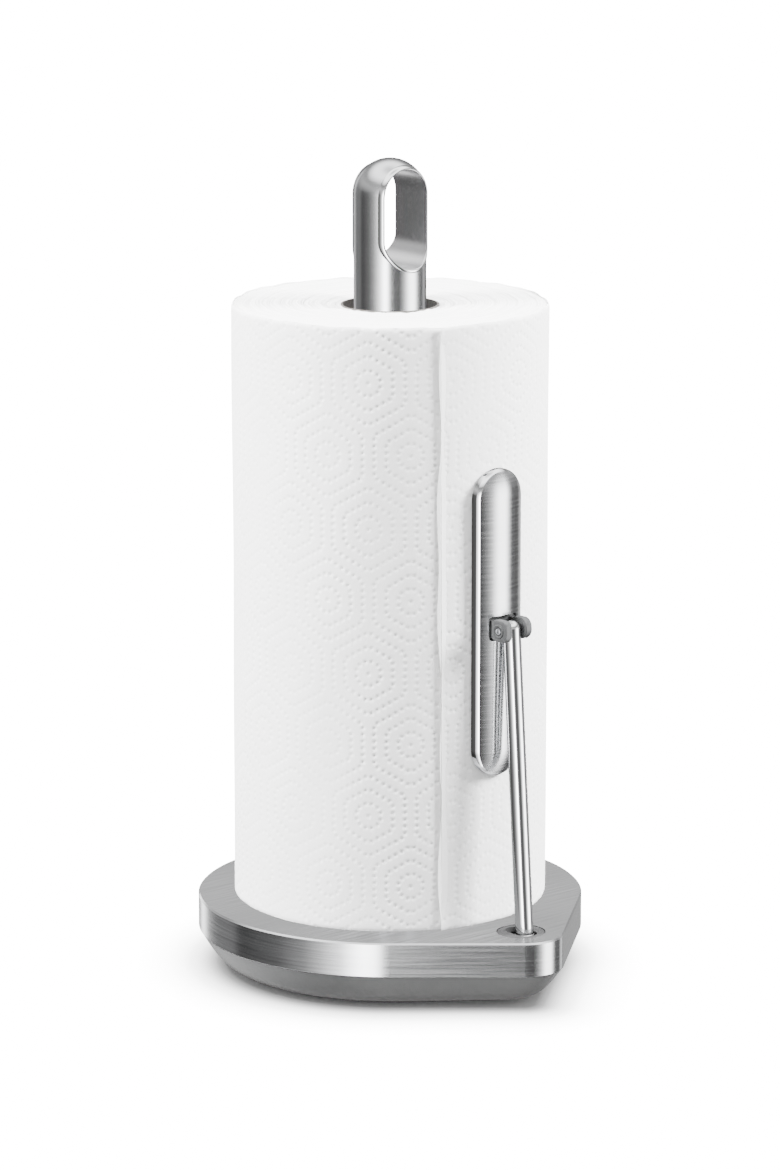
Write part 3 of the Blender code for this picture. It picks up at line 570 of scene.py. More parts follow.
def black_rubber():
    surface = Surface("black_rubber", (0.03, 0.03, 0.03), 0.0, 0.8)
    grain = surface.noise(1500.0, 3.0)
    dust = surface.noise(45.0, 4.0)
    surface.tint(dust, (0.022, 0.022, 0.022), (0.05, 0.05, 0.049))
    surface.rough(grain, 0.7, 0.92)
    surface.bump(grain, 0.06 * MM, 0.6)
    return surface.material


def white_paper():
    """Soft tissue with loose fibres."""
    surface = Surface("white_tissue", (0.90, 0.90, 0.895), 0.0, 0.95)
    fibres = surface.noise(1500.0, 5.0)
    crepe = surface.noise(1.0, 3.0, (900.0, 900.0, 260.0))
    surface.tint(surface.noise(120.0, 4.0), (0.885, 0.885, 0.88), (0.915, 0.915, 0.912))
    surface.rough(fibres, 0.88, 1.0)
    surface.bump(fibres, 0.05 * MM, 0.6)
    surface.bump(crepe, 0.07 * MM, 0.6)
    surface.specular(0.15)
    return surface.material


def roll_end_paper():
    """Cut ends of the turns: close rings of slightly different depth, with painted shade on the deeper ones.
    """
    surface = Surface("roll_end_paper", (0.9, 0.9, 0.895), 0.0, 0.95)
    parts = surface.node("ShaderNodeSeparateXYZ")
    surface.wire(surface.place, parts.inputs["Vector"])
    across = surface.math("POWER", parts.outputs["X"], 2.0)
    along = surface.math("POWER", parts.outputs["Y"], 2.0)
    radius = surface.math("SQRT", surface.math("ADD", across, along), 0.0)
    drift = surface.math("MULTIPLY", surface.noise(55.0, 2.0), 0.6 * MM)
    turn = surface.math("ADD", radius, drift)
    rings = surface.node("ShaderNodeTexNoise", noise_dimensions="1D")
    rings.inputs["Scale"].default_value = 900.0
    rings.inputs["Detail"].default_value = 3.0
    surface.wire(turn, rings.inputs["W"])
    # painted shade: the rings that lie deeper are tinted darker
    surface.tint(rings.outputs["Fac"], (0.74, 0.74, 0.735), (0.92, 0.92, 0.915))
    surface.bump(rings.outputs["Fac"], 0.6 * MM, 0.8)
    surface.bump(surface.noise(1400.0, 4.0), 0.06 * MM, 0.5)
    surface.specular(0.15)
    return surface.material


def card_painted_dark_for_shade():
    """Wound card of the roll's core, much darker than its own grey-brown: painted shade inside the hole."""
    # painted shade: near-black instead of the card's own grey-brown, for the shade inside the core
    surface = Surface("card_painted_dark_for_shade", (0.095, 0.091, 0.085), 0.0, 0.9)
    fibres = surface.noise(900.0, 5.0)
    surface.tint(fibres, (0.075, 0.071, 0.066), (0.115, 0.11, 0.103))
    surface.bump(fibres, 0.08 * MM, 0.5)
    return surface.material


STEEL = brushed_steel()
SATIN = satin_steel()
POLISHED = polished_steel()
TUNNEL = grained(
    "tunnel_steel", (0.73, 0.73, 0.74), 1.0, 0.27, scale=1800.0, detail=2.0,
    shades=[(0.71, 0.71, 0.72), (0.75, 0.75, 0.76)], roughnesses=(0.28, 0.33),
    relief=0.002 * MM, strength=0.2,
)
ZINC = grained(
    "zinc_steel", (0.55, 0.56, 0.58), 1.0, 0.38, scale=420.0, detail=3.0,
    shades=[(0.48, 0.49, 0.52), (0.62, 0.63, 0.65)], roughnesses=(0.3, 0.48),
)
SPRING = grained(
    "spring_steel", (0.26, 0.26, 0.27), 1.0, 0.34, scale=900.0, detail=3.0,
    shades=[(0.2, 0.2, 0.21), (0.32, 0.32, 0.33)], roughnesses=(0.26, 0.42),
)
IRON = grained(
    "cast_iron", (0.09, 0.09, 0.1), 0.6, 0.65, scale=700.0, detail=5.0,
    shades=[(0.06, 0.06, 0.065), (0.12, 0.12, 0.125)], roughnesses=(0.55, 0.8),
    relief=0.25 * MM, strength=0.6,
)
PAN_PLASTIC = moulded_plastic("pan_plastic", (0.155, 0.156, 0.158), 0.42)
CLIP_PLASTIC = moulded_plastic("clip_plastic", (0.045, 0.046, 0.047), 0.36)
BEZEL_PLASTIC = moulded_plastic("bezel_plastic", (0.036, 0.036, 0.037), 0.45, specular=0.18)
RUBBER = black_rubber()
TISSUE = white_paper()
ROLL_END = roll_end_paper()
CARD = card_painted_dark_for_shade()


# ---------- base
def make_cover():
    """Pressed cover: flat top, narrow chamfer and a straight skirt with a turned-in lower edge."""
    sections = [
        (SHEET, BASE_TOP - SHEET), (SHEET, SKIRT_BOTTOM), (HEM, SKIRT_BOTTOM), (0.0, SKIRT_BOTTOM + HEM),
        (0.0, BASE_TOP - CHAMFER), (CHAMFER, BASE_TOP),
    ]
    cover = loft("cover", rings_of(cover_plan, sections))
    hole = upright_cylinders("hole", [(0.0, BEZEL_MIDDLE)], BEZEL_RADIUS + GAP, 0.0, 2 * BASE_TOP, 96)
    carve(cover, hole)
    settle(cover, [STEEL], "base", "brushed_steel", "base_cover")


def bowl_plan(inset):
    reach = NOSE_REACH - NOSE_DRAW * inset
    return teardrop(BASE_RADIUS - inset, NOSE_RADIUS - NOSE_TAPER * inset, reach)


def bowl_curve(shift, lift):
    """Sections (inset, height) down the bowl's side, on a Bezier curve that ends level.

    For the inner face, shift moves the curve's top in and lift moves its foot up.
    """
    start = np.array((0.4 * MM, PAN_LEDGE))
    start_pull = np.array((5.6 * MM, 9.3 * MM))
    end_pull = np.array((9.2 * MM, PAN_LOW.z))
    end = np.array((PAN_FLAT_INSET, PAN_LOW.z))
    sections = []
    for t in np.linspace(0.0, 1.0, PAN_CURVE_STEPS + 1):
        s = 1 - t
        point = s ** 3 * start + 3 * s * s * t * start_pull + 3 * s * t * t * end_pull + t ** 3 * end
        sections.append((point[0] + shift * s, point[1] + lift * t))
    return sections


def make_pan():
    """Moulded bowl under the band, with its rim inside the skirt and four screw bosses."""
    rim = SHEET + GAP
    rings = rings_of(bowl_plan, reversed(bowl_curve(0.0, 0.0)))
    rings += rings_of(cover_plan, [(rim, PAN_LEDGE), (rim, PAN_RIM_TOP), (rim + PAN_WALL, PAN_RIM_TOP)])
    rings += rings_of(bowl_plan, bowl_curve(rim + PAN_WALL, PAN_WALL))
    pan = loft("pan", rings)
    bosses = upright_cylinders("bosses", BOSS_SPOTS, BOSS_RADIUS, PAN_LOW.z + PAN_WALL / 2, PAN_HIGH.z)
    carve(pan, bosses, "UNION")
    carve(pan, upright_cylinders("pockets", BOSS_SPOTS, POCKET_RADIUS, -POCKET_TOP, POCKET_TOP))
    carve(pan, upright_cylinders("bores", BOSS_SPOTS, BORE_RADIUS, 0.0, BASE_TOP))
    settle(pan, [PAN_PLASTIC], "base", "grey_plastic", "base_pan")


def make_bezel():
    """Grey ring let into the cover, with fine turned grooves and the arm's slot."""
    top = BEZEL_HIGH.z
    profile = [(0.0, top)]
    for i in range(1, BEZEL_GROOVES + 1):
        start = i * BEZEL_GROOVE_PITCH
        profile.append((start, top))
        profile.append((start + BEZEL_GROOVE_WIDTH / 2, top - BEZEL_GROOVE_DEPTH))
        profile.append((start + BEZEL_GROOVE_WIDTH, top))
    edge = 0.5 * MM
    edge_inset = 0.15 * MM
    edge_drop = 0.12 * MM
    profile += [
        (BEZEL_RADIUS - edge, top),
        (BEZEL_RADIUS - edge_inset, top - edge_drop),
        (BEZEL_RADIUS, top - edge),
        (BEZEL_RADIUS, BEZEL_LOW.z),
        (0.0, BEZEL_LOW.z),
    ]
    bezel = turned("bezel", profile, 96, Matrix.Translation((0.0, BEZEL_MIDDLE, 0.0)))
    slot = stadium(BEZEL_SLOT_HALF_WIDTH, BEZEL_SLOT_HALF_LENGTH)
    carve(bezel, prism("slot", slot, 0.0, 2 * BASE_TOP, lambda u, v, w: (u, BEZEL_MIDDLE + v, w)))
    settle(bezel, [BEZEL_PLASTIC], "base", "clip_plastic", "arm_bezel")


# ---------- post
def tube_surface_y(x, z, radius):
    """How far in front of the post's axis its surface of this radius lies at (x, z)."""
    above = max(0.0, z - DOME_CENTRE)
    return math.sqrt(max(radius * radius - x * x - above * above, 0.0))


def make_post():
    """Domed tube with its finger slot."""
    inner = POST_RADIUS - POST_WALL
    rows_end = SLOT_CENTRE - 1.6 * SLOT_HALF_HEIGHT  # the tube's wall has close rows of faces down to here
    outside = [(0.0, POST_HIGH.z)]
    outside += arc(POST_RADIUS, math.pi / 2, 0.0, 24, (0.0, DOME_CENTRE))[1:]
    outside += [(POST_RADIUS, z) for z in np.linspace(DOME_CENTRE, rows_end, 18)[1:]]
    outside += [(POST_RADIUS, POST_LOW.z), (inner, POST_LOW.z)]
    inside = arc(inner, 0.0, math.pi / 2, 12, (0.0, DOME_CENTRE))[:-1]
    post = turned("post", outside + inside + [(0.0, DOME_CENTRE + inner)], 160)
    edge = LIP_WIDTH + LIP_CLEARANCE
    opening = stadium(SLOT_HALF_WIDTH + edge, SLOT_HALF_HEIGHT + edge, 48)
    reach = 3 * POST_RADIUS
    carve(post, prism("slot", opening, -reach, reach, lambda u, v, w: (u, w, SLOT_CENTRE + v)))
    settle(post, [SATIN], "base", "satin_steel", "post_tube")


def make_liner():
    """Tunnel through the post, with a rounded lip that stands out of the tube on both sides."""
    path = stadium(SLOT_HALF_WIDTH, SLOT_HALF_HEIGHT, 48, 24)
    count = len(path)
    normals = []
    for i in range(count):
        ahead = path[(i + 1) % count]
        behind = path[i - 1]
        along = Vector((ahead[0] - behind[0], ahead[1] - behind[1])).normalized()
        normals.append((along.y, -along.x))

    def ring(offset, proud, side):
        """The path moved out by an offset, on one side of the tube's surface or proud of it."""
        points = []
        for (x, z), (nx, nz) in zip(path, normals):
            u = x + offset * nx
            v = z + offset * nz + SLOT_CENTRE
            points.append((u, side * tube_surface_y(u, v, POST_RADIUS + proud), v))
        return points

    lip_steps = 8
    tunnel_start = 0.4 * MM  # how deep under the tube's surface the lip ends inside
    section = [(LIP_WIDTH, -POST_WALL)]
    for i in range(lip_steps + 1):
        angle = math.pi * i / lip_steps
        section.append((LIP_WIDTH / 2 * (1 + math.cos(angle)), LIP_PROUD * math.sin(angle)))
    section.append((0.0, -tunnel_start))
    rings = [ring(offset, proud, -1) for offset, proud in section]
    rings += [ring(offset, proud, 1) for offset, proud in reversed(section)]
    rings += [ring(LINER_WALL, -POST_WALL, side) for side in (1, -1)]
    liner = loft("liner", rings, cyclic=True)
    settle(liner, [POLISHED, TUNNEL], "base", "polished_steel", "slot_liner")
    tunnel_row = len(section) - 1
    for polygon in liner.data.polygons:
        if polygon.index // count == tunnel_row:
            polygon.material_index = 1


# ---------- paper roll
def waves(angle, height, seeds):
    """Slow uneven swell of up to about 1, closed round the roll."""
    total = 0.0
    for count, rise, phase in seeds:
        total = total + np.sin(count * angle + rise * height + phase)
    return total / len(seeds)


SWELL = [(3, 11.0, 0.4), (5, -23.0, 2.1), (8, 31.0, 4.0), (13, -47.0, 1.2)]
RIM = [(4, 0.0, 1.0), (9, 0.0, 3.3), (17, 0.0, 0.2), (29, 0.0, 5.1)]
EDGE = [(0, 17.0, 0.6), (0, 43.0, 2.2), (0, 109.0, 4.4)]


def emboss(along, height):
    """Relief of the embossing: hexagonal rosettes, each of three rings of dots and one in the middle."""
    pitch = 2 * math.pi * ROLL_RADIUS / EMBOSS_COLUMNS
    row = pitch * math.sqrt(3)
    places = []
    for shift in (0.0, 0.5):
        u = ((along - EMBOSS_CENTRE[0]) / pitch - shift + 0.5) % 1.0 - 0.5
        v = ((height - EMBOSS_CENTRE[1]) / row - shift + 0.5) % 1.0 - 0.5
        places.append((u * pitch, v * row))
    (x, y), (u, v) = places
    nearer = u * u + v * v < x * x + y * y
    x = np.where(nearer, u, x)
    y = np.where(nearer, v, y)
    reach = np.full(x.shape, -1.0)
    across = np.zeros(x.shape)
    for sector in range(6):
        angle = sector * math.pi / 3
        out = x * math.cos(angle) + y * math.sin(angle)
        side = -x * math.sin(angle) + y * math.cos(angle)
        further = out > reach
        reach = np.where(further, out, reach)
        across = np.where(further, side, across)
    relief = -np.exp(-(x * x + y * y) / EMBOSS_DOT ** 2)
    for ring in range(1, EMBOSS_RINGS + 1):
        distance = ring * EMBOSS_RING
        side_length = 2 * distance / math.sqrt(3)
        dots = round(side_length / EMBOSS_DOT_PITCH)
        step = side_length / dots
        offset = (across + side_length / 2) % step - step / 2
        relief = relief - np.exp(-((reach - distance) ** 2 + offset ** 2) / EMBOSS_DOT ** 2)
    return EMBOSS_DEPTH * relief


def make_sheet(name, start, end):
    """One sheet on the outside of the roll, between two of its perforations or the loose edge."""
    columns = int((end - start) * ROLL_RADIUS / SHEET_CELL)
    rows = int((ROLL_TOP - ROLL_BOTTOM) / SHEET_CELL)
    angle, share = np.meshgrid(np.linspace(start, end, columns + 1), np.linspace(0.0, 1.0, rows + 1))
    turned_by = angle - LOOSE_EDGE
    top = ROLL_TOP - RIM_DEPTH + RIM_DEPTH * waves(angle, 0.0, RIM)
    bottom = ROLL_BOTTOM + END_GAP
    height = bottom + (top - bottom) * share
    ends = np.minimum(share, 1 - share) * (ROLL_TOP - ROLL_BOTTOM)

    radius = ROLL_RADIUS - SHEET_INSET - LAP * turned_by / (2 * math.pi)
    swell = waves(angle, height, SWELL)
    radius += SWELL_DEPTH * swell
    pressed = 0.8 + 0.5 * swell  # the embossing is deeper where the paper swells
    radius += pressed * emboss(ROLL_RADIUS * turned_by, height)

    loose_reach = 6 * MM
    lift = 0.5 * MM
    lift_unevenness = 0.3 * MM
    corner_lift = 1.3 * MM
    corner_reach = 9 * MM
    wander = 1.7 * MM
    loose = np.exp(-turned_by * ROLL_RADIUS / loose_reach)
    tear = waves(0.0, height, EDGE)
    radius += loose * (lift + lift_unevenness * tear + corner_lift * np.exp(-ends / corner_reach))
    angle = angle + loose * wander * tear / ROLL_RADIUS

    rim_inset = 0.5 * MM
    rim_reach = 0.7 * MM
    radius -= rim_inset * np.exp(-ends / rim_reach)
    outer = about_z(radius, height, angle).reshape(-1, 3)
    width = columns + 1
    inner = []
    for r in (0, rows):
        line = outer[r * width:(r + 1) * width]
        plan = np.linalg.norm(line[:, :2], axis=1, keepdims=True)
        inner.append(np.hstack((line[:, :2] * (1 - PAPER / plan), line[:, 2:])))
    vertices = np.vstack((outer, inner[0], inner[1]))
    faces = []
    for r in range(rows):
        for c in range(columns):
            i = r * width + c
            faces.append((i, i + 1, i + width + 1, i + width))
    low = len(outer)
    high = low + width
    last = rows * width
    for c in range(columns):
        faces.append((c + 1, c, low + c, low + c + 1))
        faces.append((last + c, last + c + 1, high + c + 1, high + c))
        faces.append((low + c + 1, low + c, high + c, high + c + 1))
    faces.append([r * width for r in range(rows + 1)] + [high, low])
    faces.append([low + columns, high + columns] + [r * width + columns for r in range(rows, -1, -1)])
    settle(mesh_object(name, vertices, faces), [TISSUE], "roll", "white_paper")


def make_winding():
    """All the turns under the outer sheets, with slightly uneven ends and a hole for the card core."""
    outer = ROLL_RADIUS - SHEET_INSET - LAP - PAPER - SWELL_DEPTH
    inner = CORE_HIGH.x + CORE_GAP
    waist = outer - 1.2 * MM  # keeps the side clear of the sheets between the two ends
    top_inset = 0.75 * MM
    droop_at_core = 1.4 * MM
    droop_at_rim = 0.35 * MM
    unevenness = 0.35 * MM
    lap_depth = 0.15 * MM
    low_depth = 0.1 * MM
    angles = np.linspace(0.0, 2 * math.pi, 360, endpoint=False)
    radii = np.linspace(outer, inner, 70)
    rings = []
    for radius in radii:
        share = (radius - inner) / (outer - inner)
        droop = droop_at_core * (1 - share) ** 6 + droop_at_rim * share ** 8
        laps = np.sin(700 * radius + 3 * np.sin(2 * angles))
        laps += np.sin(1270 * radius + 4 * np.sin(angles + 1.0))
        ripple = unevenness * waves(angles, 0.0, RIM) + lap_depth * laps
        rings.append(about_z(radius, ROLL_TOP - top_inset - droop + ripple, angles))
    for radius in radii[::-3]:
        ripple = low_depth * np.sin(700 * radius + 2 * np.sin(3 * angles))
        rings.append(about_z(radius, ROLL_BOTTOM + END_GAP + ripple, angles))
    for height in (ROLL_BOTTOM + 3 * MM, ROLL_TOP - 4 * MM):
        rings.append(about_z(waist, height, angles))
    winding = loft("winding", rings, cyclic=True)
    settle(winding, [ROLL_END], "roll", "white_paper", "paper_roll")


def make_sheets():
    """The outermost turn: three sheets, the last tucked a little way under the loose edge."""
    first = LOOSE_EDGE + math.radians(120)
    second = LOOSE_EDGE + math.radians(240)
    tucked = LOOSE_EDGE + 2 * math.pi + math.radians(2.5)
    make_sheet("sheet_1", LOOSE_EDGE, first)
    make_sheet("sheet_2", first, second)
    make_sheet("sheet_3", second, tucked)


def make_core():
    """Card tube, its spiral seam raised a little inside."""
    outer = CORE_HIGH.x
    top = CORE_HIGH.z - 1.2 * MM
    angles = np.linspace(0.0, 2 * math.pi, 120, endpoint=False)
    heights = np.linspace(top, CORE_LOW.z, 90)
    rings = [about_z(outer, height, angles) for height in reversed(heights)]
    for height in heights:
        seam = (angles / (2 * math.pi) + height / SEAM_RISE) % 1.0
        bore = outer - CORE_WALL - SEAM_DEPTH * np.exp(-((seam - 0.5) / SEAM_WIDTH) ** 2)
        rings.append(about_z(bore, height, angles))
    settle(loft("core", rings, cyclic=True), [CARD], "roll", "card", "roll_core")


# ---------- arm
def arm_matrix():
    """Frame of the arm: its origin on the axle, Z along the rod."""
    turn = Vector((0.0, 0.0, 1.0)).rotation_difference(ARM_UP)
    return Matrix.Translation(PIVOT) @ turn.to_matrix().to_4x4()


def make_arm():
    """Round-topped rod, and the thin collar round its foot."""
    place = arm_matrix()
    profile = [(0.0, ROD_START)]
    profile += [(ROD_RADIUS, height) for height in np.linspace(ROD_START, ARM_LENGTH, 20)]
    profile += arc(ROD_RADIUS, 0.0, math.pi / 2, 16, (0.0, ARM_LENGTH))[1:-1]
    profile.append((0.0, ARM_LENGTH + ROD_RADIUS))
    settle(turned("rod", profile, 72, place), [POLISHED], "arm", "polished_steel", "arm_rod")

    inner = ROD_RADIUS + COLLAR_CLEARANCE
    bead_centre = (COLLAR_RADIUS - COLLAR_BEAD, COLLAR_TOP - COLLAR_BEAD)
    profile = [(inner, COLLAR_BOTTOM), (COLLAR_RADIUS, COLLAR_BOTTOM)]
    profile += arc(COLLAR_BEAD, 0.0, math.pi / 2, 6, bead_centre)
    profile.append((inner, COLLAR_TOP))
    collar = turned("collar", profile, 72, place, closed=True)
    settle(collar, [POLISHED], "arm", "polished_steel", "arm_collar")


# ---------- pad
PAD_HALF_WIDTH = PAD_HIGH.x
PAD_HALF_HEIGHT = (PAD_HIGH.z - PAD_LOW.z) / 2
PAD_MIDDLE = (PAD_HIGH.z + PAD_LOW.z) / 2
PAD_FACE = 80.0 * MM  # distances from the post's axis to the crown and to its edge
PAD_EDGE = 76.3 * MM
PAD_CHAMFER = 1.2 * MM  # bright bevel between the side wall and the crowned face
PAD_CHAMFER_SLOPE = 1.2
PAD_CHAMFER_ROUND = 0.12 * MM
PAD_CLEARANCE = 0.5 * MM
PAD_STEPS = 16  # rings of faces from the bevel to the middle of the crown
PAD_CROWNED = 0.985  # share of the half width that they span
CROWN_HEIGHT = PAD_FACE - PAD_EDGE
CROWN_RADIUS = (PAD_HALF_WIDTH ** 2 + CROWN_HEIGHT ** 2) / (2 * CROWN_HEIGHT)


def crown_distance(inset):
    """Post axis to the crowned face at a place this far in from the pad's outline."""
    rise = math.sqrt(CROWN_RADIUS ** 2 - (PAD_HALF_WIDTH - inset) ** 2) - (CROWN_RADIUS - CROWN_HEIGHT)
    return PAD_EDGE + rise


def pad_ring(inset, distance):
    outline = stadium(PAD_HALF_WIDTH - inset, PAD_HALF_HEIGHT - inset, 56, 12)
    return [(u, -distance, v + PAD_MIDDLE) for u, v in outline]


def make_pad_shell():
    """Pressed pad: straight polished side wall and crowned, brushed face, with a window for the clip."""
    blank = ROLL_RADIUS - 4 * MM  # inside the roll, until the back is cut to the roll's round
    across = PAD_CROWNED * PAD_HALF_WIDTH - PAD_CHAMFER
    turns = [math.pi / 2 * i / PAD_STEPS for i in range(PAD_STEPS + 1)]
    insets = [PAD_CHAMFER + across * (1 - math.cos(turn)) for turn in turns]
    outer = [pad_ring(inset, crown_distance(inset)) for inset in insets]
    inner = [pad_ring(inset, crown_distance(inset) - SHEET) for inset in insets]
    bevel_top = crown_distance(PAD_CHAMFER)
    bevel_foot = bevel_top - PAD_CHAMFER * PAD_CHAMFER_SLOPE
    soft = PAD_CHAMFER_ROUND
    rings = inner[::-1] + [pad_ring(SHEET, blank), pad_ring(0.0, blank), pad_ring(0.0, bevel_foot - soft)]
    rings += [pad_ring(soft / 2, bevel_foot + soft), pad_ring(PAD_CHAMFER - soft, bevel_top - soft)]
    shell = loft("pad", rings + outer)
    back = upright_cylinders("back", [(0.0, 0.0)], ROLL_RADIUS + PAD_CLEARANCE, 0.0, 2 * PAD_HIGH.z, 256)
    carve(shell, back)
    window = rounded_box_outline(8.2 * MM, 5.6 * MM, [1.6 * MM] * 4)
    in_front = PAD_FACE + 10 * MM
    carve(shell, prism("window", window, -in_front, -PAD_EDGE, lambda u, v, w: (u, w, PIN.z + v)))
    settle(shell, [STEEL, POLISHED], "pad", "brushed_steel", "pad_shell")
    side_wall = 0.75  # faces that look less than this along Y are polished
    for polygon in shell.data.polygons:
        if abs(polygon.normal.y) < side_wall:
            polygon.material_index = 1


def clip_side(side, front_round):
    """Ear, neck and round boss on one side of the clip; side is -1 or 1."""
    front = PIN.y - 0.3 * MM
    ear_outline = rounded_box_outline(4.8 * MM, 4.9 * MM, [1.9 * MM, front_round, front_round, 1.9 * MM])
    low, high = sorted((side * 4.4 * MM, side * 7.9 * MM))
    ear = prism(f"ear_{side}", ear_outline, low, high, lambda u, v, w: (w, front + u, PIN.z + v))
    soften(ear, 0.45 * MM)
    neck_middle = PIN.y + 4.2 * MM
    neck_outline = rounded_box_outline(4.0 * MM, 4.0 * MM, [0.8 * MM] * 4, 4)
    low, high = sorted((side * 4.9 * MM, side * 7.4 * MM))
    neck = prism(f"neck_{side}", neck_outline, low, high, lambda u, v, w: (w, neck_middle + u, PIN.z + v))
    bead = [
        (2.1 * MM, 0.0), (3.3 * MM, 0.0), (3.1 * MM, 0.45 * MM), (2.9 * MM, 0.55 * MM), (2.4 * MM, 0.5 * MM),
        (2.1 * MM, 0.1 * MM),
    ]
    face = Matrix.Translation((side * 7.75 * MM, PIN.y, PIN.z)) @ Matrix.Rotation(side * math.pi / 2, 4, "Y")
    boss = turned(f"boss_{side}", bead, 48, face, closed=True)
    return [ear, neck, boss]


def make_clip():
    """Plastic fork that holds the rod: two ears with round bosses, on necks from a base in the window."""
    base_outline = rounded_box_outline(8.2 * MM, 9.2 * MM, [1.0 * MM] * 4, 4)
    base_front = CLIP_BACK - 1.4 * MM
    pieces = clip_side(-1, 2.4 * MM) + clip_side(1, 4.3 * MM)
    pieces.append(prism("clip_base", base_outline, base_front, CLIP_BACK, lambda u, v, w: (u, w, PIN.z + v)))
    clip = pieces[0]
    for other in pieces[1:]:
        carve(clip, other, "UNION")
    clip.name = "clip"
    along_pin = Matrix.Translation(PIN) @ Matrix.Rotation(math.pi / 2, 4, "Y")
    bore = 1.8 * MM
    reach = 10 * MM
    carve(clip, turned("bore", [(0.0, -reach), (bore, -reach), (bore, reach), (0.0, reach)], 32, along_pin))
    settle(clip, [CLIP_PLASTIC], "pad", "clip_plastic", "pad_clip")

    radius = 1.5 * MM
    half = 8.3 * MM
    dome = 0.5 * MM
    edge = 0.2 * MM
    end = [(radius, half - edge), (0.95 * radius, half), (0.6 * radius, half + 0.75 * dome)]
    end.append((0.0, half + dome))
    profile = [(r, -z) for r, z in reversed(end)] + end
    settle(turned("pin", profile, 40, along_pin), [ZINC], "pad", "polished_steel", "clip_pin")


# ---------- pieces that keep their CAD shape
def dress_cad_nodes():
    finishes = {
        ZINC: ["post_plug", "post_washer", "post_bolt", "arm_bracket", "arm_axle", "arm_hub",
               "bracket_screw_1", "bracket_screw_2", "clip_screw_1", "clip_screw_2",
               "pan_screw_1", "pan_screw_2", "pan_screw_3", "pan_screw_4"],
        SPRING: ["arm_spring_left", "arm_spring_right", "axle_clip_left", "axle_clip_right"],
        IRON: ["ballast_plate"],
        RUBBER: ["foot_pad"],
        CLIP_PLASTIC: ["pad_backing"],
    }
    for material, names in finishes.items():
        for name in names:
            node = frame["nodes"][name]
            node.data.materials.clear()
            node.data.materials.append(material)


# ---------- studio
def make_world():
    """Soft studio: panels of light and dark for the reflections, and an even soft light for the rest."""
    world = bpy.data.worlds.new("studio")
    bpy.context.scene.world = world
    world.use_nodes = True
    graph = Graph(world.node_tree)
    graph.tree.nodes.clear()
    bearing = graph.node("ShaderNodeMapping")
    bearing.inputs["Rotation"].default_value = (0.0, 0.0, math.pi / 2 - CAMERA_AZIMUTH)
    graph.wire(graph.node("ShaderNodeTexCoord").outputs["Generated"], bearing.inputs["Vector"])
    parts = graph.node("ShaderNodeSeparateXYZ")
    graph.wire(bearing.outputs["Vector"], parts.inputs["Vector"])
    rise = parts.outputs["Z"]
    turn = graph.math("ARCTAN2", parts.outputs["Y"], parts.outputs["X"])
    stops = [((angle + 180) / 360, level) for angle, level in STUDIO_PANELS]
    around = graph.levels(graph.spread(turn, 0.0, 1.0, -math.pi, math.pi), stops, PANEL_PEAK)
    above = graph.levels(rise, STUDIO_CEILING, PANEL_PEAK)
    below = graph.levels(graph.math("ADD", rise, 1.0), STUDIO_BELOW, 1.0)
    seen = graph.node("ShaderNodeMix", data_type="RGBA")
    colours = {socket.identifier: socket for socket in [*seen.inputs, *seen.outputs]}
    graph.wire(graph.spread(rise, 0.0, 1.0, CEILING_FROM, CEILING_FULL), seen.inputs["Factor"])
    graph.wire(around, colours["A_Color"])
    graph.wire(above, colours["B_Color"])
    panels = graph.node("ShaderNodeBackground")
    graph.wire(colours["Result_Color"], panels.inputs["Color"])
    graph.wire(graph.math("MULTIPLY", below, PANEL_PEAK), panels.inputs["Strength"])
    soft = graph.node("ShaderNodeBackground")
    graph.wire(graph.spread(rise, SOFT_BELOW, SOFT_ABOVE, SOFT_FROM, SOFT_FULL), soft.inputs["Strength"])
    backdrop = graph.node("ShaderNodeBackground")
    backdrop.inputs["Strength"].default_value = FLOOR_WHITE
    path = graph.node("ShaderNodeLightPath").outputs
    lit = graph.mixed_shaders(path["Is Glossy Ray"], soft.outputs["Background"], panels.outputs["Background"])
    view = graph.mixed_shaders(path["Is Camera Ray"], lit, backdrop.outputs["Background"])
    graph.wire(view, graph.node("ShaderNodeOutputWorld").inputs["Surface"])


def aimed(name, data, angle, elevation, distance):
    """Object that looks at AIM, from an angle to the right of the camera and one above level."""
    turn = CAMERA_AZIMUTH - math.pi / 2 + angle
    level = math.cos(elevation)
    away = Vector((math.cos(turn) * level, math.sin(turn) * level, math.sin(elevation)))
    obj = bpy.data.objects.new(name, data)
    obj.location = AIM + away * distance
    obj.rotation_euler = away.to_track_quat("Z", "Y").to_euler()
    bpy.context.scene.collection.objects.link(obj)
    return obj


def area_light(name, angle, elevation, distance, size, power):
    """Softbox turned towards the object, its two angles in degrees."""
    light = bpy.data.lights.new(name, "AREA")
    light.shape = "RECTANGLE"
    light.size, light.size_y = size
    light.energy = power
    obj = aimed(name, light, math.radians(angle), math.radians(elevation), distance)
    obj.visible_camera = False
    obj.visible_glossy = False
    return obj


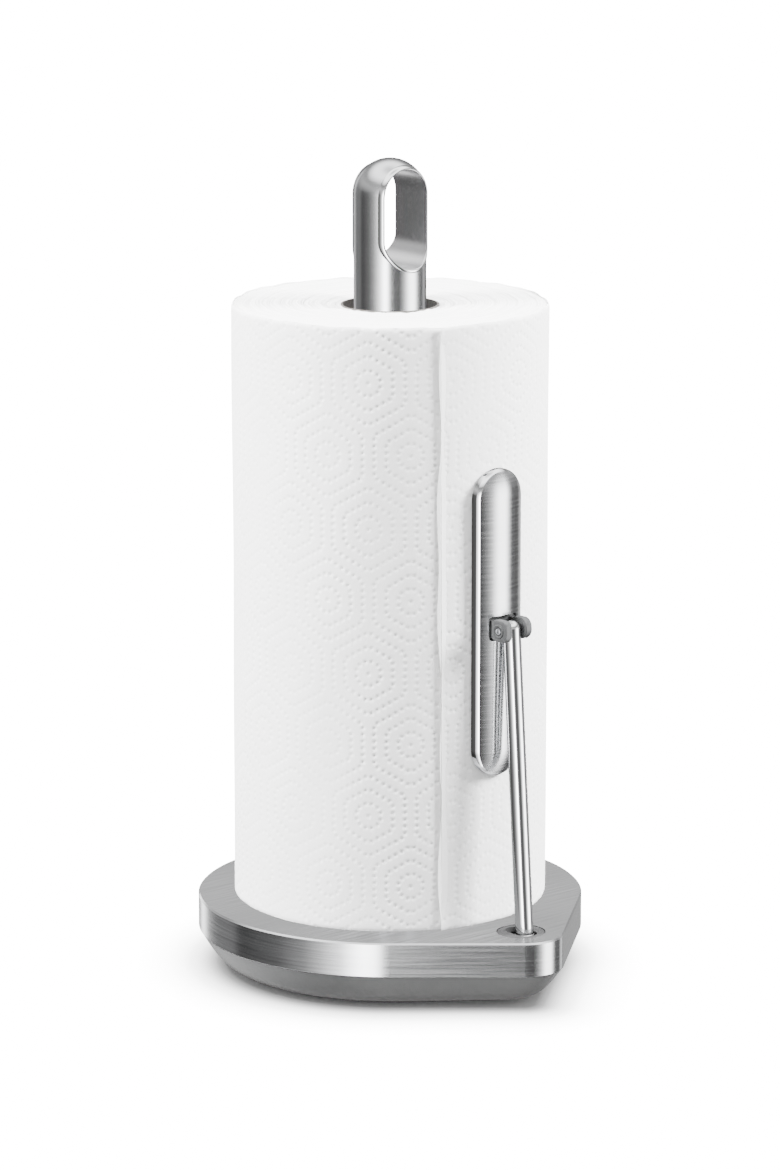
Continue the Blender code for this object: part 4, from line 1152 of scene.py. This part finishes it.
def floor_material():
    """Pale floor that shows the soft shadow near the object, deepened by painted shadow where its share of
    plain white falls, and goes to plain white further out.
    """
    surface = Surface("pale_floor", (FLOOR_SHADE, FLOOR_SHADE, FLOOR_SHADE), 0.0, 0.9)
    surface.specular(0.0)
    away = surface.node("ShaderNodeAttribute", attribute_name=WHITE_SHARE).outputs["Fac"]
    from_camera = surface.node("ShaderNodeLightPath").outputs["Is Camera Ray"]
    glow = surface.node("ShaderNodeEmission")
    glow.inputs["Strength"].default_value = FLOOR_WHITE
    # painted shadow: less plain white, so more of the grey floor, nearer the base
    share = surface.math("MULTIPLY", away, from_camera)
    top = surface.mixed_shaders(share, surface.shader.outputs["BSDF"], glow.outputs["Emission"])
    clear = surface.node("ShaderNodeBsdfTransparent").outputs["BSDF"]
    behind = surface.node("ShaderNodeNewGeometry").outputs["Backfacing"]
    one_sided = surface.mixed_shaders(behind, top, clear)
    surface.wire(one_sided, surface.tree.nodes["Material Output"].inputs["Surface"])
    return surface.material


def make_floor():
    """Floor in rings round the base's outline, each with its share of plain white; the lower shares near the
    base paint part of the shadow. It is clear from below.
    """
    rings = rings_of(cover_plan, [(-distance, -FLOOR_GAP) for distance, _ in FLOOR_FADE])
    columns = len(rings[0])
    faces = strip_faces(len(rings), columns)
    faces.append(tuple(range((len(rings) - 1) * columns, len(rings) * columns)))
    floor = mesh_object("floor", [point for ring in rings for point in ring], faces)
    white = floor.data.attributes.new(WHITE_SHARE, "FLOAT", "POINT")
    white.data.foreach_set("value", np.repeat([share for _, share in FLOOR_FADE], columns))
    floor.data.materials.append(floor_material())
    floor.visible_glossy = False
    floor.visible_diffuse = False
    return floor


def make_studio():
    floor = make_floor()
    make_world()
    area_light("top_softbox", -20, 84, 2.0, (1.0, 1.0), 135.0)
    unlit = bpy.data.collections.new("not_lit_from_the_sides")
    unlit.objects.link(floor)
    unlit.collection_objects[0].light_linking.link_state = "EXCLUDE"
    for light in (
        area_light("left_softbox", -74, 32, 1.6, (0.5, 0.7), 145.0),
        area_light("right_softbox", 84, 32, 1.8, (0.6, 0.7), 190.0),
    ):
        light.light_linking.receiver_collection = unlit


def make_camera():
    data = bpy.data.cameras.new("camera")
    data.sensor_width = 36.0
    data.lens = CAMERA_LENS
    data.clip_start = 0.05
    data.clip_end = 200.0
    bpy.context.scene.camera = aimed("camera", data, 0.0, CAMERA_ELEVATION, CAMERA_DISTANCE)


make_camera()
make_studio()
make_cover()
make_pan()
make_bezel()
make_post()
make_liner()
make_winding()
make_sheets()
make_core()
make_arm()
make_pad_shell()
make_clip()
dress_cad_nodes()
